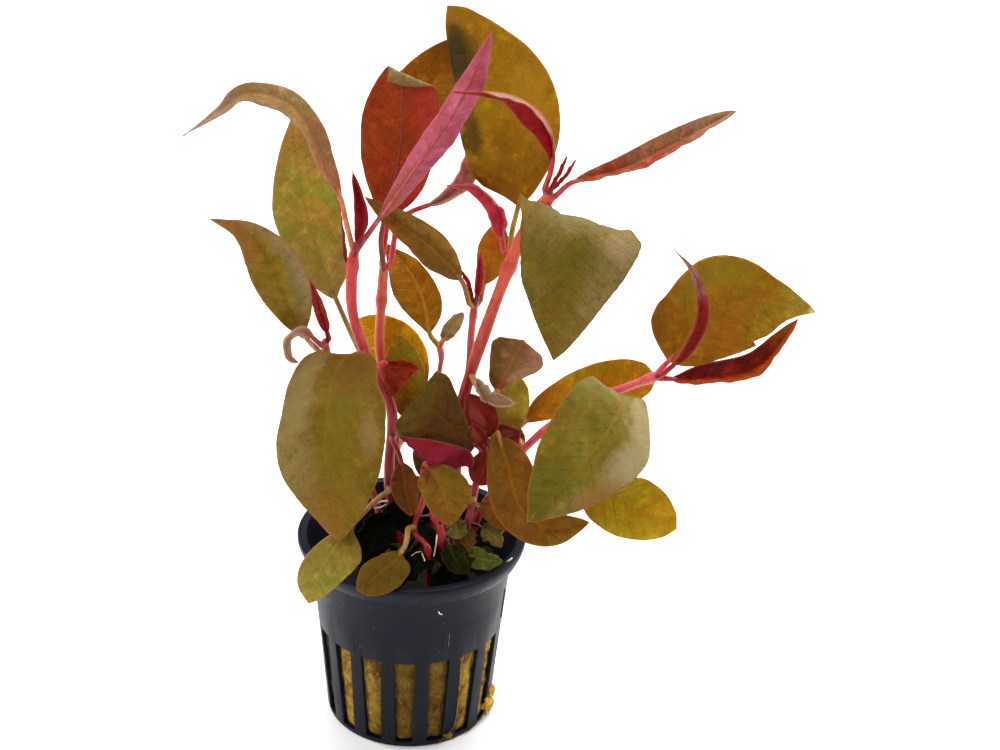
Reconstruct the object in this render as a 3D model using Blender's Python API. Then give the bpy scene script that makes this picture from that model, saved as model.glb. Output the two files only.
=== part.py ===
"""A red and olive leaved aquarium plant in its slotted net pot.

Metres, +Z up. The origin is the middle of the pot's foot, and -Y is the front.
The pot holds a plug of rock wool, the stems stand in the plug, and each leaf
springs from a joint of its stem.
"""

import math

import bpy
import bmesh
from mathutils import Vector

MM = 0.001

# Driving dimensions of the pot
RIM_RADIUS = 27.5 * MM
RIM_WIDTH = 2.2 * MM
RIM_HEIGHT = 5.0 * MM
POT_HEIGHT = 49.0 * MM
FOOT_RADIUS = 20.3 * MM
SHOULDER_RADIUS = 24.2 * MM
SKIRT_RADIUS = 26.0 * MM
WALL = 1.0 * MM
FLOOR = 1.2 * MM
HUB_RADIUS = 7.0 * MM
FLOOR_SLOT_RADIUS = 15.0 * MM
SLOT_COUNT = 17
SLOT_FOOT = 1.6 * MM
SLOT_HEAD = 25.8 * MM
SLOT_HALF_ANGLE_FOOT = math.radians(5.6)
SLOT_HALF_ANGLE_HEAD = math.radians(6.75)

# Driving dimensions of the rock wool plug
PLUG_TOP = 38.0 * MM
PLUG_GAP = 0.35 * MM
PLUG_LUMP = 0.5 * MM
PLUG_SECOND_LUMP = 0.6
PLUG_COLUMNS = 34
PLUG_ROWS = 6

# Driving dimensions shared by the stems and the leaves
STEM_STEP = 6.0 * MM
STEM_SIDES_RESOLUTION = 2
JOINT_SWELL = 1.25
LEAF_HALF_THICKNESS = 0.42 * MM
LEAF_TIP_SIZE = 0.25 * MM
STALK_RADIUS = 0.65 * MM
STALK_TAPER = 0.9
STALK_RING_SHARE = 0.55
END_EASE = 1.5
RING_POINTS = 8
PATH_STEPS = 30
PATH_SAMPLES = 120
BEND_STEPS = 8

# Where along a blade its rings lie, from the stalk (0) to the tip (1)
BIG_STATIONS = (0.06, 0.16, 0.3, 0.46, 0.62, 0.78, 0.91, 1.0)
SMALL_STATIONS = (0.12, 0.36, 0.62, 0.86, 1.0)

# Ways that the upper face of a leaf can look
FRONT = (0.05, -0.9, 0.42)
BACK = (-0.1, 0.95, -0.2)

COLOURS = {
    "pot": ((0.022, 0.026, 0.038), 0.42),
    "plug": ((0.34, 0.2, 0.045), 0.95),
    "stem": ((0.72, 0.09, 0.1), 0.35),
    "olive": ((0.2, 0.17, 0.02), 0.4),
    "green": ((0.16, 0.2, 0.04), 0.4),
    "ochre": ((0.4, 0.23, 0.015), 0.4),
    "orange": ((0.4, 0.1, 0.012), 0.4),
    "dark": ((0.1, 0.06, 0.015), 0.4),
    "crimson": ((0.3, 0.015, 0.03), 0.35),
    "pink": ((0.65, 0.1, 0.18), 0.4),
    "grey": ((0.28, 0.24, 0.16), 0.45),
}


def clear_scene():
    for thing in list(bpy.data.objects):
        bpy.data.objects.remove(thing, do_unlink=True)


def finish_material(name):
    """Return the material of that name, made on its first use."""
    found = bpy.data.materials.get(name)
    if found:
        return found
    colour, roughness = COLOURS[name]
    material = bpy.data.materials.new(name)
    material.use_nodes = True
    shader = material.node_tree.nodes["Principled BSDF"]
    shader.inputs["Base Color"].default_value = (*colour, 1.0)
    shader.inputs["Roughness"].default_value = roughness
    shader.inputs["Metallic"].default_value = 0.0
    return material


def place_object(name, data, finish):
    thing = bpy.data.objects.new(name, data)
    thing.data.materials.append(finish_material(finish))
    bpy.context.scene.collection.objects.link(thing)
    return thing


def mesh_object(name, bm, finish, sharp_angle=math.radians(50)):
    bmesh.ops.recalc_face_normals(bm, faces=bm.faces[:])
    mesh = bpy.data.meshes.new(name)
    bm.to_mesh(mesh)
    bm.free()
    mesh.shade_smooth()
    mesh.set_sharp_from_angle(angle=sharp_angle)
    return place_object(name, mesh, finish)


# The pot
def wall_radius(height):
    """Outer radius of the tapered wall."""
    share = height / (POT_HEIGHT - RIM_HEIGHT)
    return FOOT_RADIUS + (SHOULDER_RADIUS - FOOT_RADIUS) * share


def pot_profile():
    """The wall's section as (radius, height), up the outside and down the inside.

    Also returns the numbers of the edges that the slots cut through.
    """
    shoulder = POT_HEIGHT - RIM_HEIGHT
    outside = [
        (HUB_RADIUS, 0.0),
        (FLOOR_SLOT_RADIUS, 0.0),
        (FOOT_RADIUS, 0.0),
        (wall_radius(SLOT_FOOT), SLOT_FOOT),
        (wall_radius(SLOT_HEAD), SLOT_HEAD),
        (SHOULDER_RADIUS, shoulder),
        (SKIRT_RADIUS, shoulder),
        (RIM_RADIUS, POT_HEIGHT - 0.8 * MM),
        (RIM_RADIUS - 0.5 * MM, POT_HEIGHT),
    ]
    inside = [
        (RIM_RADIUS - RIM_WIDTH, POT_HEIGHT),
        (SHOULDER_RADIUS - WALL, shoulder),
        (wall_radius(SLOT_HEAD) - WALL, SLOT_HEAD),
        (wall_radius(SLOT_FOOT) - WALL, SLOT_FOOT),
        (FOOT_RADIUS - WALL, FLOOR),
        (FLOOR_SLOT_RADIUS, FLOOR),
        (HUB_RADIUS, FLOOR),
    ]
    profile = outside + inside
    floor_pair = (0, profile.index(inside[-2]))
    wall_pair = (3, profile.index(inside[2]))
    return profile, (floor_pair, wall_pair)


def build_pot():
    profile, cuts = pot_profile()
    pitch = 2 * math.pi / SLOT_COUNT
    bm = bmesh.new()
    columns = []
    for sector in range(SLOT_COUNT):
        for side in (-1, 0, 1):
            column = []
            for radius, height in profile:
                share = min(max((height - SLOT_FOOT) / (SLOT_HEAD - SLOT_FOOT), 0), 1)
                widen = (SLOT_HALF_ANGLE_HEAD - SLOT_HALF_ANGLE_FOOT) * share
                angle = sector * pitch + side * (SLOT_HALF_ANGLE_FOOT + widen)
                spot = (radius * math.sin(angle), -radius * math.cos(angle), height)
                column.append(bm.verts.new(spot))
            columns.append(column)
    open_edges = {edge for pair in cuts for edge in pair}
    for number, column in enumerate(columns):
        after = columns[(number + 1) % len(columns)]
        over_slot = number % 3 != 2
        for edge in range(len(profile) - 1):
            if over_slot and edge in open_edges:
                continue
            bm.faces.new((column[edge], after[edge], after[edge + 1], column[edge + 1]))
        if over_slot:
            for outer, inner in cuts:
                bm.faces.new((column[outer], column[inner + 1], after[inner + 1], after[outer]))
                bm.faces.new((column[outer + 1], after[outer + 1], after[inner], column[inner]))
        if number % 3 != 1:
            for outer, inner in cuts:
                cheek = (column[outer], column[outer + 1], column[inner], column[inner + 1])
                bm.faces.new(cheek)
    bm.faces.new([column[0] for column in columns])
    bm.faces.new([column[-1] for column in reversed(columns)])
    return mesh_object("pot", bm, "pot", math.radians(30))


# The rock wool plug
def plug_radius(height, angle):
    """Just inside the wall, with shallow lumps that repeat round the plug."""
    lump = math.sin(3 * angle + 130 * height)
    lump += PLUG_SECOND_LUMP * math.sin(7 * angle - 260 * height)
    return wall_radius(height) - WALL - PLUG_GAP - PLUG_LUMP * (1 + 0.6 * lump)


def build_plug():
    bm = bmesh.new()
    rows = []
    foot = FLOOR + 0.4 * MM
    for row in range(PLUG_ROWS):
        height = foot + (PLUG_TOP - foot) * row / (PLUG_ROWS - 1)
        ring = []
        for column in range(PLUG_COLUMNS):
            angle = 2 * math.pi * column / PLUG_COLUMNS
            radius = plug_radius(height, angle)
            spot = (radius * math.sin(angle), -radius * math.cos(angle), height)
            ring.append(bm.verts.new(spot))
        rows.append(ring)
    for low, high in zip(rows, rows[1:]):
        for column in range(PLUG_COLUMNS):
            after = (column + 1) % PLUG_COLUMNS
            bm.faces.new((low[column], low[after], high[after], high[column]))
    bm.faces.new(list(reversed(rows[0])))
    crown = bm.verts.new((0, 0, PLUG_TOP + 0.6 * MM))
    top = rows[-1]
    for column in range(PLUG_COLUMNS):
        bm.faces.new((top[column], top[(column + 1) % PLUG_COLUMNS], crown))
    return mesh_object("rock_wool_plug", bm, "plug")


# Smooth paths
def catmull(p0, p1, p2, p3, t):
    """The point at t between p1 and p2 on a smooth curve through all four."""
    a = 2 * p1
    b = p2 - p0
    c = 2 * p0 - 5 * p1 + 4 * p2 - p3
    d = 3 * p1 - p0 - 3 * p2 + p3
    return 0.5 * (a + b * t + c * t * t + d * t ** 3)


def smooth_path(points_mm, samples=PATH_SAMPLES):
    """Evenly spaced points on a smooth curve through points given in millimetres."""
    knots = [Vector(point) * MM for point in points_mm]
    knots = [2 * knots[0] - knots[1]] + knots + [2 * knots[-1] - knots[-2]]
    fine = []
    for first in range(len(knots) - 3):
        for step in range(PATH_STEPS):
            fine.append(catmull(*knots[first:first + 4], step / PATH_STEPS))
    fine.append(knots[-2])
    lengths = [0.0]
    for before, after in zip(fine, fine[1:]):
        lengths.append(lengths[-1] + (after - before).length)
    path = []
    spot = 0
    for sample in range(samples + 1):
        wanted = lengths[-1] * sample / samples
        while spot < len(fine) - 2 and lengths[spot + 1] < wanted:
            spot += 1
        span = lengths[spot + 1] - lengths[spot]
        share = (wanted - lengths[spot]) / span if span else 0.0
        path.append(fine[spot].lerp(fine[spot + 1], min(share, 1.0)))
    return path, lengths[-1]


def path_at(path, share):
    """The point and the heading at a share of the path's length."""
    place = min(max(share, 0.0), 1.0) * (len(path) - 1)
    low = min(int(place), len(path) - 2)
    point = path[low].lerp(path[low + 1], place - low)
    before = path[max(low - 1, 0)]
    after = path[min(low + 2, len(path) - 1)]
    return point, (after - before).normalized()


# Stems
def stem(name, diameter_mm, points_mm, joints=(), finish="stem"):
    """A tube along its path, thicker at its joints, which are shares of its length."""
    path, length = smooth_path(points_mm)
    count = max(int(length / STEM_STEP), 3)
    shares = sorted({step / count for step in range(count + 1)} | set(joints))
    curve = bpy.data.curves.new(name, "CURVE")
    curve.dimensions = "3D"
    curve.bevel_depth = diameter_mm * MM / 2
    curve.bevel_resolution = STEM_SIDES_RESOLUTION
    curve.use_fill_caps = True
    spline = curve.splines.new("POLY")
    spline.points.add(len(shares) - 1)
    for point, share in zip(spline.points, shares):
        point.co = (*path_at(path, share)[0], 1.0)
        point.radius = JOINT_SWELL if share in joints else 1.0
    return place_object(name, curve, finish)


# Leaves
def blade_width(t, form):
    """Share of the full width at t, 0 at the blade's foot and 1 at its tip."""
    base, tip = form
    widest = base / (base + tip)
    if t <= 0 or t >= 1:
        return 0.0
    return (t / widest) ** base * ((1 - t) / (1 - widest)) ** tip


def ways_at(faces, share):
    """Blend the directions that the upper face looks in."""
    place = share * (len(faces) - 1)
    low = min(int(place), max(len(faces) - 2, 0))
    high = min(low + 1, len(faces) - 1)
    return Vector(faces[low]).lerp(Vector(faces[high]), place - low)


def bent_offset(reach, half_width, fold, curl, roll):
    """Where a point of the cross-section lies after folding.

    reach runs from -1 at the left margin to 1 at the right one. fold lifts a
    half as a flat plate, curl bends it more towards the margin, and roll turns
    over its outer part alone. Returns sideways, upwards and the local angle.
    """
    sign = 1 if reach >= 0 else -1
    across, up, angle = 0.0, 0.0, fold
    step = abs(reach) / BEND_STEPS
    for number in range(BEND_STEPS):
        spot = (number + 0.5) * step
        angle = fold + curl * spot + roll * max(0.0, (spot - 0.5) / 0.5)
        across += math.cos(angle) * step * half_width
        up += math.sin(angle) * step * half_width
    return sign * across, up, sign * angle


def leaf(name, finish, midrib, width, form=(0.7, 0.9), stalk=0.12, faces=(FRONT,),
         fold=10, curl=0, rolls=(0, 0), stations=BIG_STATIONS, lean=1.0, stalk_mm=None):
    """One leaf with its stalk, as a closed solid of lens-shaped rings.

    midrib lists points in millimetres from the stalk's foot to the tip. width is
    the full width in millimetres, lean how much wider the right half is.
    """
    path, length = smooth_path(midrib)
    stalk_radius = stalk_mm * MM / 2 if stalk_mm else STALK_RADIUS
    shares = [0.0, stalk * STALK_RING_SHARE] + [stalk + (1 - stalk) * t for t in stations]
    bm = bmesh.new()
    rings = []
    for share in shares:
        t = (share - stalk) / (1 - stalk)
        spread = blade_width(t, form)
        centre, heading = path_at(path, share)
        upward = ways_at(faces, share)
        upward = (upward - heading * upward.dot(heading)).normalized()
        sideways = heading.cross(upward)
        fade = 1 - max(t, 0.0) * STALK_TAPER
        half = max(width * MM / 2 * spread, stalk_radius * fade, LEAF_TIP_SIZE)
        stalk_share = 1 - min(spread * 2, 1)
        thick = LEAF_HALF_THICKNESS + (stalk_radius - LEAF_HALF_THICKNESS) * stalk_share
        thick = max(thick * fade ** 0.5, LEAF_TIP_SIZE)
        ease = min(spread * END_EASE, 1.0)
        ring = []
        for corner in range(RING_POINTS):
            turn = 2 * math.pi * corner / RING_POINTS
            reach = math.cos(turn)
            side_width = half * (1 if reach < 0 else 1 + (lean - 1) * ease)
            roll = math.radians(rolls[0] if reach < 0 else rolls[1]) * ease
            across, up, angle = bent_offset(
                reach, side_width, math.radians(fold) * ease, math.radians(curl) * ease, roll)
            lift = thick * math.sin(turn)
            across -= lift * math.sin(angle)
            up += lift * math.cos(angle)
            ring.append(bm.verts.new(centre + sideways * across + upward * up))
        rings.append(ring)
    for low, high in zip(rings, rings[1:]):
        for corner in range(RING_POINTS):
            after = (corner + 1) % RING_POINTS
            bm.faces.new((low[corner], low[after], high[after], high[corner]))
    bm.faces.new(list(reversed(rings[0])))
    bm.faces.new(rings[-1])
    return mesh_object(name, bm, finish)


def small_leaf(name, finish, midrib, width, *more, **options):
    """A leaf with fewer rings."""
    return leaf(name, finish, midrib, width, *more, stations=SMALL_STATIONS, **options)


def build_stems():
    stem("stem_left", 2.5,
         [(-3, -2, 40), (-5, -3, 57.5), (-5.5, -3, 69), (-5, -3, 82), (-8.5, -3.5, 91.5),
          (-11, -3.5, 96.5), (-14, -2.8, 106), (-14.5, -2, 113), (-14, -2, 120)],
         (0.66, 1.0))
    stem("stem_back", 2.3,
         [(-3, 3, 40), (-4, 4, 57.5), (-5, 5, 73.5), (-8.5, 6, 93), (-8.5, 7, 104), (-8, 7, 113)],
         (1.0,))
    stem("stem_tall", 2.9,
         [(8, 1, 40), (10, 1, 57), (10, 2, 70.5), (11.5, 3, 84.5), (16.5, 3, 103.5),
          (21, 2, 118.5), (23.5, 1, 126), (28.5, -1, 135)],
         (0.8, 1.0))
    stem("stem_fork", 1.7,
         [(6, 5, 40), (8, 7, 53.5), (9.5, 8, 70), (12, 8.5, 87), (12.5, 8.5, 97.5), (13, 8.5, 104.5)],
         (1.0,))
    stem("stem_right", 2.0,
         [(12, -2, 40), (15.5, -1, 53.5), (20, 0, 62), (23.5, 0, 69), (31, -1, 78.5),
          (39.5, -2, 85.5), (46.5, -3, 90), (55, -3, 94)],
         (0.84, 1.0))
    stem("stem_thin", 1.3,
         [(4, 9, 40), (5, 12, 56.5), (5, 13, 72.5), (5, 13, 83.5), (5.5, 13, 89), (5, 13, 92)],
         (1.0,))
    stem("stem_side", 1.8,
         [(-5, -6, 40), (-7, -8, 56.5), (-12, -4, 70), (-16.5, -2, 84), (-20, -2, 95.5),
          (-20.5, -2, 98.5)],
         (1.0,))
    stem("stem_rosette", 1.9, [(9, -6, 40), (13, -6, 53), (15, -4, 64.5), (16.5, -2, 72.5)], (1.0,))
    stem("shoot_front", 1.5,
         [(5, -16, 40), (4.5, -14, 52), (1, -11, 55.5), (3, -9, 63), (3, -9, 71)],
         (1.0,))
    stem("stump", 2.0, [(8.5, -12, 40), (7.5, -11, 54), (5.5, -9, 58.5)])


def build_left_leaves():
    """The leaves of the left stem, and of the side stem behind the biggest leaf."""
    leaf("leaf_arching", "ochre",
         [(-14, -2.5, 121.5), (-15.5, -3.5, 128.5), (-17, -4, 135.5), (-20.5, -5, 143.5),
          (-24, -5.5, 151.5), (-28, -6, 156), (-34.5, -7, 158), (-38.5, -7.5, 157),
          (-41, -8, 154.5), (-49.5, -9, 148.5)],
         5.5, (0.8, 1.4), 0.2, ((0.9, -0.4, 0.2), (0.5, -0.6, 0.6), (-0.2, -0.7, 0.7)), 20)
    leaf("leaf_tall", "olive",
         [(-12.5, -1, 96), (-16.5, 3, 102.5), (-20.5, 5, 111.5), (-25.5, 6, 127.5), (-28.5, 6, 148.5)],
         14.5, (0.9, 0.8), 0.24)
    small_leaf("leaf_young_left", "crimson",
               [(-13.5, -4, 122.5), (-12, -4.5, 130.5), (-14, -5, 141)], 3.4, (0.8, 1.1), 0.06, fold=40)
    leaf("leaf_pink", "pink",
         [(-13, -2, 122), (-8, -5, 130.5), (-1.5, -8, 141.5), (5, -10, 152), (10.5, -10, 162),
          (15, -10, 174)],
         8.2, (1.0, 1.0), 0.15, (BACK,), 35)
    leaf("leaf_big", "olive",
         [(-12, -6, 98), (-14.5, -12, 100), (-17.5, -17, 95.5), (-18.5, -21, 83.5), (-17.5, -23, 73),
          (-15, -25, 60)],
         25.5, (0.55, 0.75), 0.05, ((-0.35, -0.4, 0.85), (-0.1, -0.95, 0.3), (0, -1, 0.1)), 8, lean=0.88)
    small_leaf("leaf_triangle", "crimson",
               [(-7.4, -1.7, 94), (-4.5, -1, 92.8), (1, 0, 92)], 8.5, (0.6, 0.9), 0.1)
    leaf("leaf_left", "olive",
         [(-20.5, -4, 96), (-25, -7, 103), (-28, -10, 112), (-31.5, -12, 123), (-36.5, -13, 129.5),
          (-43.5, -14, 132)],
         12.5, (0.7, 1.3), 0.15, ((-0.1, -0.8, 0.5),), 15)
    small_leaf("leaf_young_side", "crimson",
               [(-19.6, -2.2, 99.8), (-21, -4, 106.5), (-23.5, -5, 115)], 3.6, (0.8, 1.1), 0.1, fold=40)
    small_leaf("leaf_loop", "crimson",
               [(-21, -5.6, 99.6), (-24.3, -12, 105.8), (-27.5, -13, 104), (-27.5, -12, 99.5),
                (-25.5, -11, 97.5)],
               2.6, (0.6, 0.6), 0.2, ((0, -0.6, -0.8), (1, -0.4, 0), (0, -0.6, 0.8)))


def build_back_leaves():
    """The leaves of the back stem and of the thin one."""
    leaf("leaf_red", "orange",
         [(-8, 5.5, 115.5), (-8.5, 5, 121.5), (-7.5, 5, 127.5), (-5, 4, 139.5), (-4, 3, 150.5),
          (-3.5, 2, 160)],
         18.5, (0.8, 0.35), 0.22, (BACK,), 10)
    leaf("leaf_brown", "ochre",
         [(-8.6, 9, 114), (-7.5, 12, 123), (-5.5, 14, 137.5), (0, 15, 152.5), (10.5, 16, 166.5)],
         15.0, (0.8, 0.8), 0.25)
    leaf("leaf_pale", "pink",
         [(-6.3, 7.4, 115.5), (-5, 9, 124), (-2, 9, 127), (5.5, 9.5, 130.5), (10.5, 11, 136), (13, 13, 147)],
         4.5, (0.8, 0.8), 0.42, fold=30)
    leaf("leaf_veined", "orange",
         [(4.5, 13, 92.5), (2.5, 13, 95.5), (1, 13, 103.5), (-2.5, 13, 111), (-8, 12, 118)],
         10.5, (0.7, 0.9), 0.12)
    small_leaf("leaf_curl_small", "grey",
               [(5.5, 12, 93.5), (8, 9, 99), (10.5, 8, 103)], 3.5, (0.5, 0.5), 0.08)
    leaf("leaf_yellow", "ochre",
         [(-3.5, 12, 67), (-3, 13, 77.5), (-5.5, 14, 89), (-14, 14, 98)], 14.5, (0.8, 0.7), 0.2)
    leaf("leaf_olive", "olive", [(-3, 8, 69), (-2.5, 9, 79.5), (-4.5, 10, 96)], 10.0, (0.8, 0.8), 0.2)


def build_tall_leaves():
    """The leaves of the tall stem, and of the fork behind it."""
    leaf("leaf_crown", "ochre",
         [(20.5, 4.4, 118.5), (21, 6, 124.5), (22.5, 8, 133.5), (21.5, 9, 145), (16.5, 10, 157),
          (12, 10, 165), (5, 10, 174)],
         23.5, (0.5, 0.9), 0.2, lean=0.85)
    leaf("leaf_claw", "crimson",
         [(27.7, -0.5, 137), (29, -2, 144), (27, -5, 153.5), (19.5, -9, 160), (7.5, -14, 162)],
         7.0, (0.8, 1.1), 0.15, ((-0.6, -0.5, -0.6),), 50)
    leaf("leaf_spear", "orange",
         [(30, -1.6, 135.8), (34, -3, 140), (43.5, -5, 144), (51.5, -7, 149), (66.5, -9, 159)],
         6.0, (0.8, 0.7), 0.12, ((-0.2, -0.6, 0.75),), 30)
    leaf("leaf_hanging", "green",
         [(29.5, -4, 135), (31, -11, 138), (33, -17.5, 136.5), (33, -21, 127.5), (31, -20, 105)],
         27.0, (0.55, 1.1), 0.1,
         ((0.5, -0.2, 0.8), (0.45, -0.6, 0.5), (0.1, -1, 0.2), (0.1, -1, 0.1)), 8, lean=0.9)
    leaf("leaf_magenta", "pink",
         [(19.2, 3, 120.8), (18.6, 4, 125), (18, 5, 129.5), (13, 5, 134.5), (6, 5, 135)],
         6.0, (0.7, 1.2), 0.1, ((-0.3, -0.7, -0.5),), 25)
    leaf("leaf_dark", "dark",
         [(11.8, 6.6, 106.2), (9.8, 4, 113), (3.5, 1, 121), (-4.5, -1, 128), (-11.5, -2, 134)],
         8.3, (0.7, 1.0), 0.2, ((0.1, -0.7, 0.6),))
    small_leaf("leaf_orange", "orange",
               [(14.3, 9.7, 105.6), (15, 10.3, 109.5), (16.5, 11, 115), (18, 12, 124.5)],
               7.5, (0.8, 0.8), 0.2)
    small_leaf("leaf_young_fork", "crimson",
               [(13.4, 7.4, 106.3), (14, 6, 112.5), (14, 5, 119.5)],
               2.4, (0.8, 1.1), 0.06, fold=35)


def build_centre_leaves():
    """The low leaves round the middle, and those that spill over the rim."""
    leaf("leaf_centre", "dark",
         [(15.5, -4, 74), (11.5, -7, 78.5), (6.5, -10, 85.5), (-2.5, -12, 90)],
         28.0, (0.5, 0.5), 0.1, rolls=(150, 0), lean=0.62)
    small_leaf("leaf_crimson_up", "crimson", [(17, -1, 73), (16, -1, 80), (12, -2, 86.5)], 6.5)
    small_leaf("leaf_crimson_down", "crimson",
               [(17, -4.4, 73), (17.5, -6, 70.3), (16, -7.2, 66.6)], 6.0, (0.5, 0.6))
    small_leaf("leaf_narrow", "dark",
               [(-4.5, -5.5, 76), (-2.5, -8, 72.5), (-1, -11, 66), (0.5, -13, 60.5)],
               6.5, (0.7, 0.8), 0.3)
    small_leaf("leaf_gold", "ochre",
               [(3.5, -12, 72.5), (7.2, -16.5, 70.3), (10, -19, 62)], 11.0, (0.6, 0.6), 0.06)
    leaf("leaf_spill_left", "olive",
         [(-5, -6, 63), (-8, -10, 62.5), (-13, -17, 59.5), (-18.5, -23, 53.5), (-22, -26, 44)],
         12.5, (0.6, 0.9), 0.4)
    leaf("leaf_spill_front", "ochre",
         [(-0.2, -13.2, 57.2), (-0.7, -18, 55.2), (-4, -25, 54), (-10.5, -29, 50)], 11.0, (0.6, 0.6), 0.35)
    small_leaf("leaf_small_right", "ochre", [(16.2, -6.6, 60.6), (20, -9.2, 60), (25.5, -12, 57)], 4.5)
    leaf("leaf_sweep", "orange",
         [(19.5, -3, 76), (22.5, -8, 71), (25.5, -15, 65.5), (32, -20, 63), (41, -22, 66)],
         12.0, (0.5, 0.8), 0.06)
    leaf("leaf_grey", "grey",
         [(17, 3, 74.5), (17.5, 2, 82.3), (19, -0.5, 87.2), (21.5, -4, 95), (24.5, -6, 103)],
         13.0, (0.9, 0.3), 0.45)
    leaf("leaf_lime", "green",
         [(18, 2, 71.5), (21, 3, 74.5), (22.5, 3, 80.5), (24, 3, 89.5)], 8.0, (0.7, 0.6), 0.15)
    small_leaf("leaf_dry", "grey", [(13.5, -3, 91), (17, -4, 87.5), (23.5, -5, 86)], 3.0)
    small_leaf("leaf_stub", "orange", [(23, 2.5, 69), (24.5, 3, 73), (23, 4, 76.5)], 3.5, (0.6, 0.6))


def build_right_leaves():
    """The leaves of the right stem."""
    leaf("leaf_green", "green",
         [(45.5, -5, 90), (47, -14, 93.5), (44.5, -22, 91), (37.5, -27, 82), (27, -28, 69)],
         20.5, (0.6, 0.8), 0.06, ((0.35, -0.2, 0.9), (0.3, -0.7, 0.6), (0, -1, 0.2)), 8, lean=1.15)
    leaf("leaf_low_right", "ochre",
         [(34, -3, 79.5), (42.5, -8, 69.5), (51, -11, 64.5), (62, -12, 59.5)], 16.0, (0.7, 0.45), 0.3)
    leaf("leaf_ochre", "ochre",
         [(24, 6.5, 74), (30.5, 7.5, 79.5), (43.5, 8.5, 84.7), (56.5, 9, 88)], 14.5, (0.8, 0.55), 0.08)
    leaf("leaf_wide_right", "olive",
         [(56.6, -1.4, 95.6), (62.5, 2, 101), (72.5, 4, 110), (81, 2, 111.5), (89.5, -3, 111.5)],
         21.0, (0.7, 1.2), 0.05)
    leaf("leaf_maroon", "crimson",
         [(56.5, -4, 94), (64.5, -9, 97), (76, -12, 101.5), (84, -13, 114)],
         7.5, (0.8, 0.9), 0.06, ((-0.2, -0.5, 0.8),), 35)
    leaf("leaf_hook", "crimson",
         [(56.5, -5, 95.5), (61, -9, 103.5), (63.5, -11, 113.5), (61, -11, 122.5), (56, -10, 128)],
         3.2, (0.7, 1.2), 0.1, fold=25)


def build_pot_leaves():
    """The small old leaves on the rock wool, inside the rim."""
    small_leaf("pot_leaf_1", "dark", [(2, -11.5, 53.3), (-0.5, -9.5, 56), (-2.3, -8, 59.5)], 5.0)
    small_leaf("pot_leaf_2", "dark", [(9, -12, 54), (11, -16, 51), (14.5, -18, 48.5)], 6.0)
    small_leaf("pot_leaf_3", "olive", [(12, -8, 55.5), (13.5, -12, 54), (14.5, -15, 52.5)], 4.0)
    small_leaf("pot_leaf_4", "olive", [(16, -6, 54.5), (19.5, -9, 54), (21.5, -12, 52.5)], 5.0)
    small_leaf("pot_leaf_5", "green", [(11.5, -12, 52.5), (16.5, -15, 51), (22, -15, 50.5)], 5.0)


clear_scene()
build_pot()
build_plug()
build_stems()
build_left_leaves()
build_back_leaves()
build_tall_leaves()
build_centre_leaves()
build_right_leaves()
build_pot_leaves()
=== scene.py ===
"""A red and olive leaved aquarium plant in its slotted net pot, dressed for the picture."""
import math

import bmesh
import bpy
import numpy as np
from mathutils import Matrix, Vector, noise


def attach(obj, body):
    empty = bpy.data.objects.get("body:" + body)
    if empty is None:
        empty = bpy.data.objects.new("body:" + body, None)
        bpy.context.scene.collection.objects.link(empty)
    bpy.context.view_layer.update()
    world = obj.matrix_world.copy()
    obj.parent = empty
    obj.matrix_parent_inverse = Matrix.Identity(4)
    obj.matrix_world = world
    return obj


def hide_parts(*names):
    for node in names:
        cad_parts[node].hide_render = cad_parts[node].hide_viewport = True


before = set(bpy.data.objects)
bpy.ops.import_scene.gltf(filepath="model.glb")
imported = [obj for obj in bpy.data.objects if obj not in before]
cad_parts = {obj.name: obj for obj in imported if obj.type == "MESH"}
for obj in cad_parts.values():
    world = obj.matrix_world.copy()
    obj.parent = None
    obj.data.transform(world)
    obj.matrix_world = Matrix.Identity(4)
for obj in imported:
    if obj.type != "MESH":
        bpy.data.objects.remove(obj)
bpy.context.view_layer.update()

# The pot: one moulding of dark blue-grey plastic, with a solid hub, radial slots in its floor,
# seventeen tall slots in its wall and a flared rim. It is injection moulded, so its walls taper,
# its edges are slightly rounded and dust clings to it.
MM = 0.001
POT_TURNS = 136
SLOTS = 17
SLOT_FOOT = 1.6
SLOT_HEAD = 25.8
SLOT_HALF_ANGLE = 5.6
SLOT_FLARE = 1.15
EDGE_ROUNDING = 0.22
OUTER_WALL = [(7.0, 0.0), (15.0, 0.0), (19.6, 0.0), (20.2, 0.3), (20.45, 1.6), (22.6, 25.8),
              (23.4, 34.5), (24.1, 43.0), (24.35, 43.6), (25.7, 44.1), (26.3, 44.8), (27.1, 46.6),
              (27.45, 47.8), (27.5, 48.4), (27.3, 48.85), (26.9, 49.0)]
INNER_WALL = [(25.6, 49.0), (25.25, 48.85), (25.1, 48.5), (24.7, 46.0), (23.15, 43.4), (21.6, 25.8),
              (19.45, 1.6), (19.2, 1.2), (15.0, 1.2), (7.0, 1.2)]


def tone(red, green, blue, gain=1.0):
    """A colour as the eye sees it, from 0 to 255, turned into what a shader takes."""
    values = []
    for level in (red, green, blue):
        share = level / 255
        linear = share / 12.92 if share <= 0.04045 else ((share + 0.055) / 1.055) ** 2.4
        values.append(min(linear * gain, 1.0))
    return (*values, 1.0)


def node(tree, kind, inputs=None, **settings):
    """Add a node, set it up, and link or set its inputs."""
    made = tree.nodes.new("ShaderNode" + kind)
    for name, value in settings.items():
        setattr(made, name, value)
    for key, value in (inputs or {}).items():
        if isinstance(value, bpy.types.NodeSocket):
            tree.links.new(value, made.inputs[key])
        else:
            made.inputs[key].default_value = value
    return made


def math_step(tree, operation, first, second=0.0):
    return node(tree, "Math", {0: first, 1: second}, operation=operation).outputs[0]


def plus(tree, first, second):
    return math_step(tree, "ADD", first, second)


def times(tree, first, second):
    return math_step(tree, "MULTIPLY", first, second)


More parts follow.
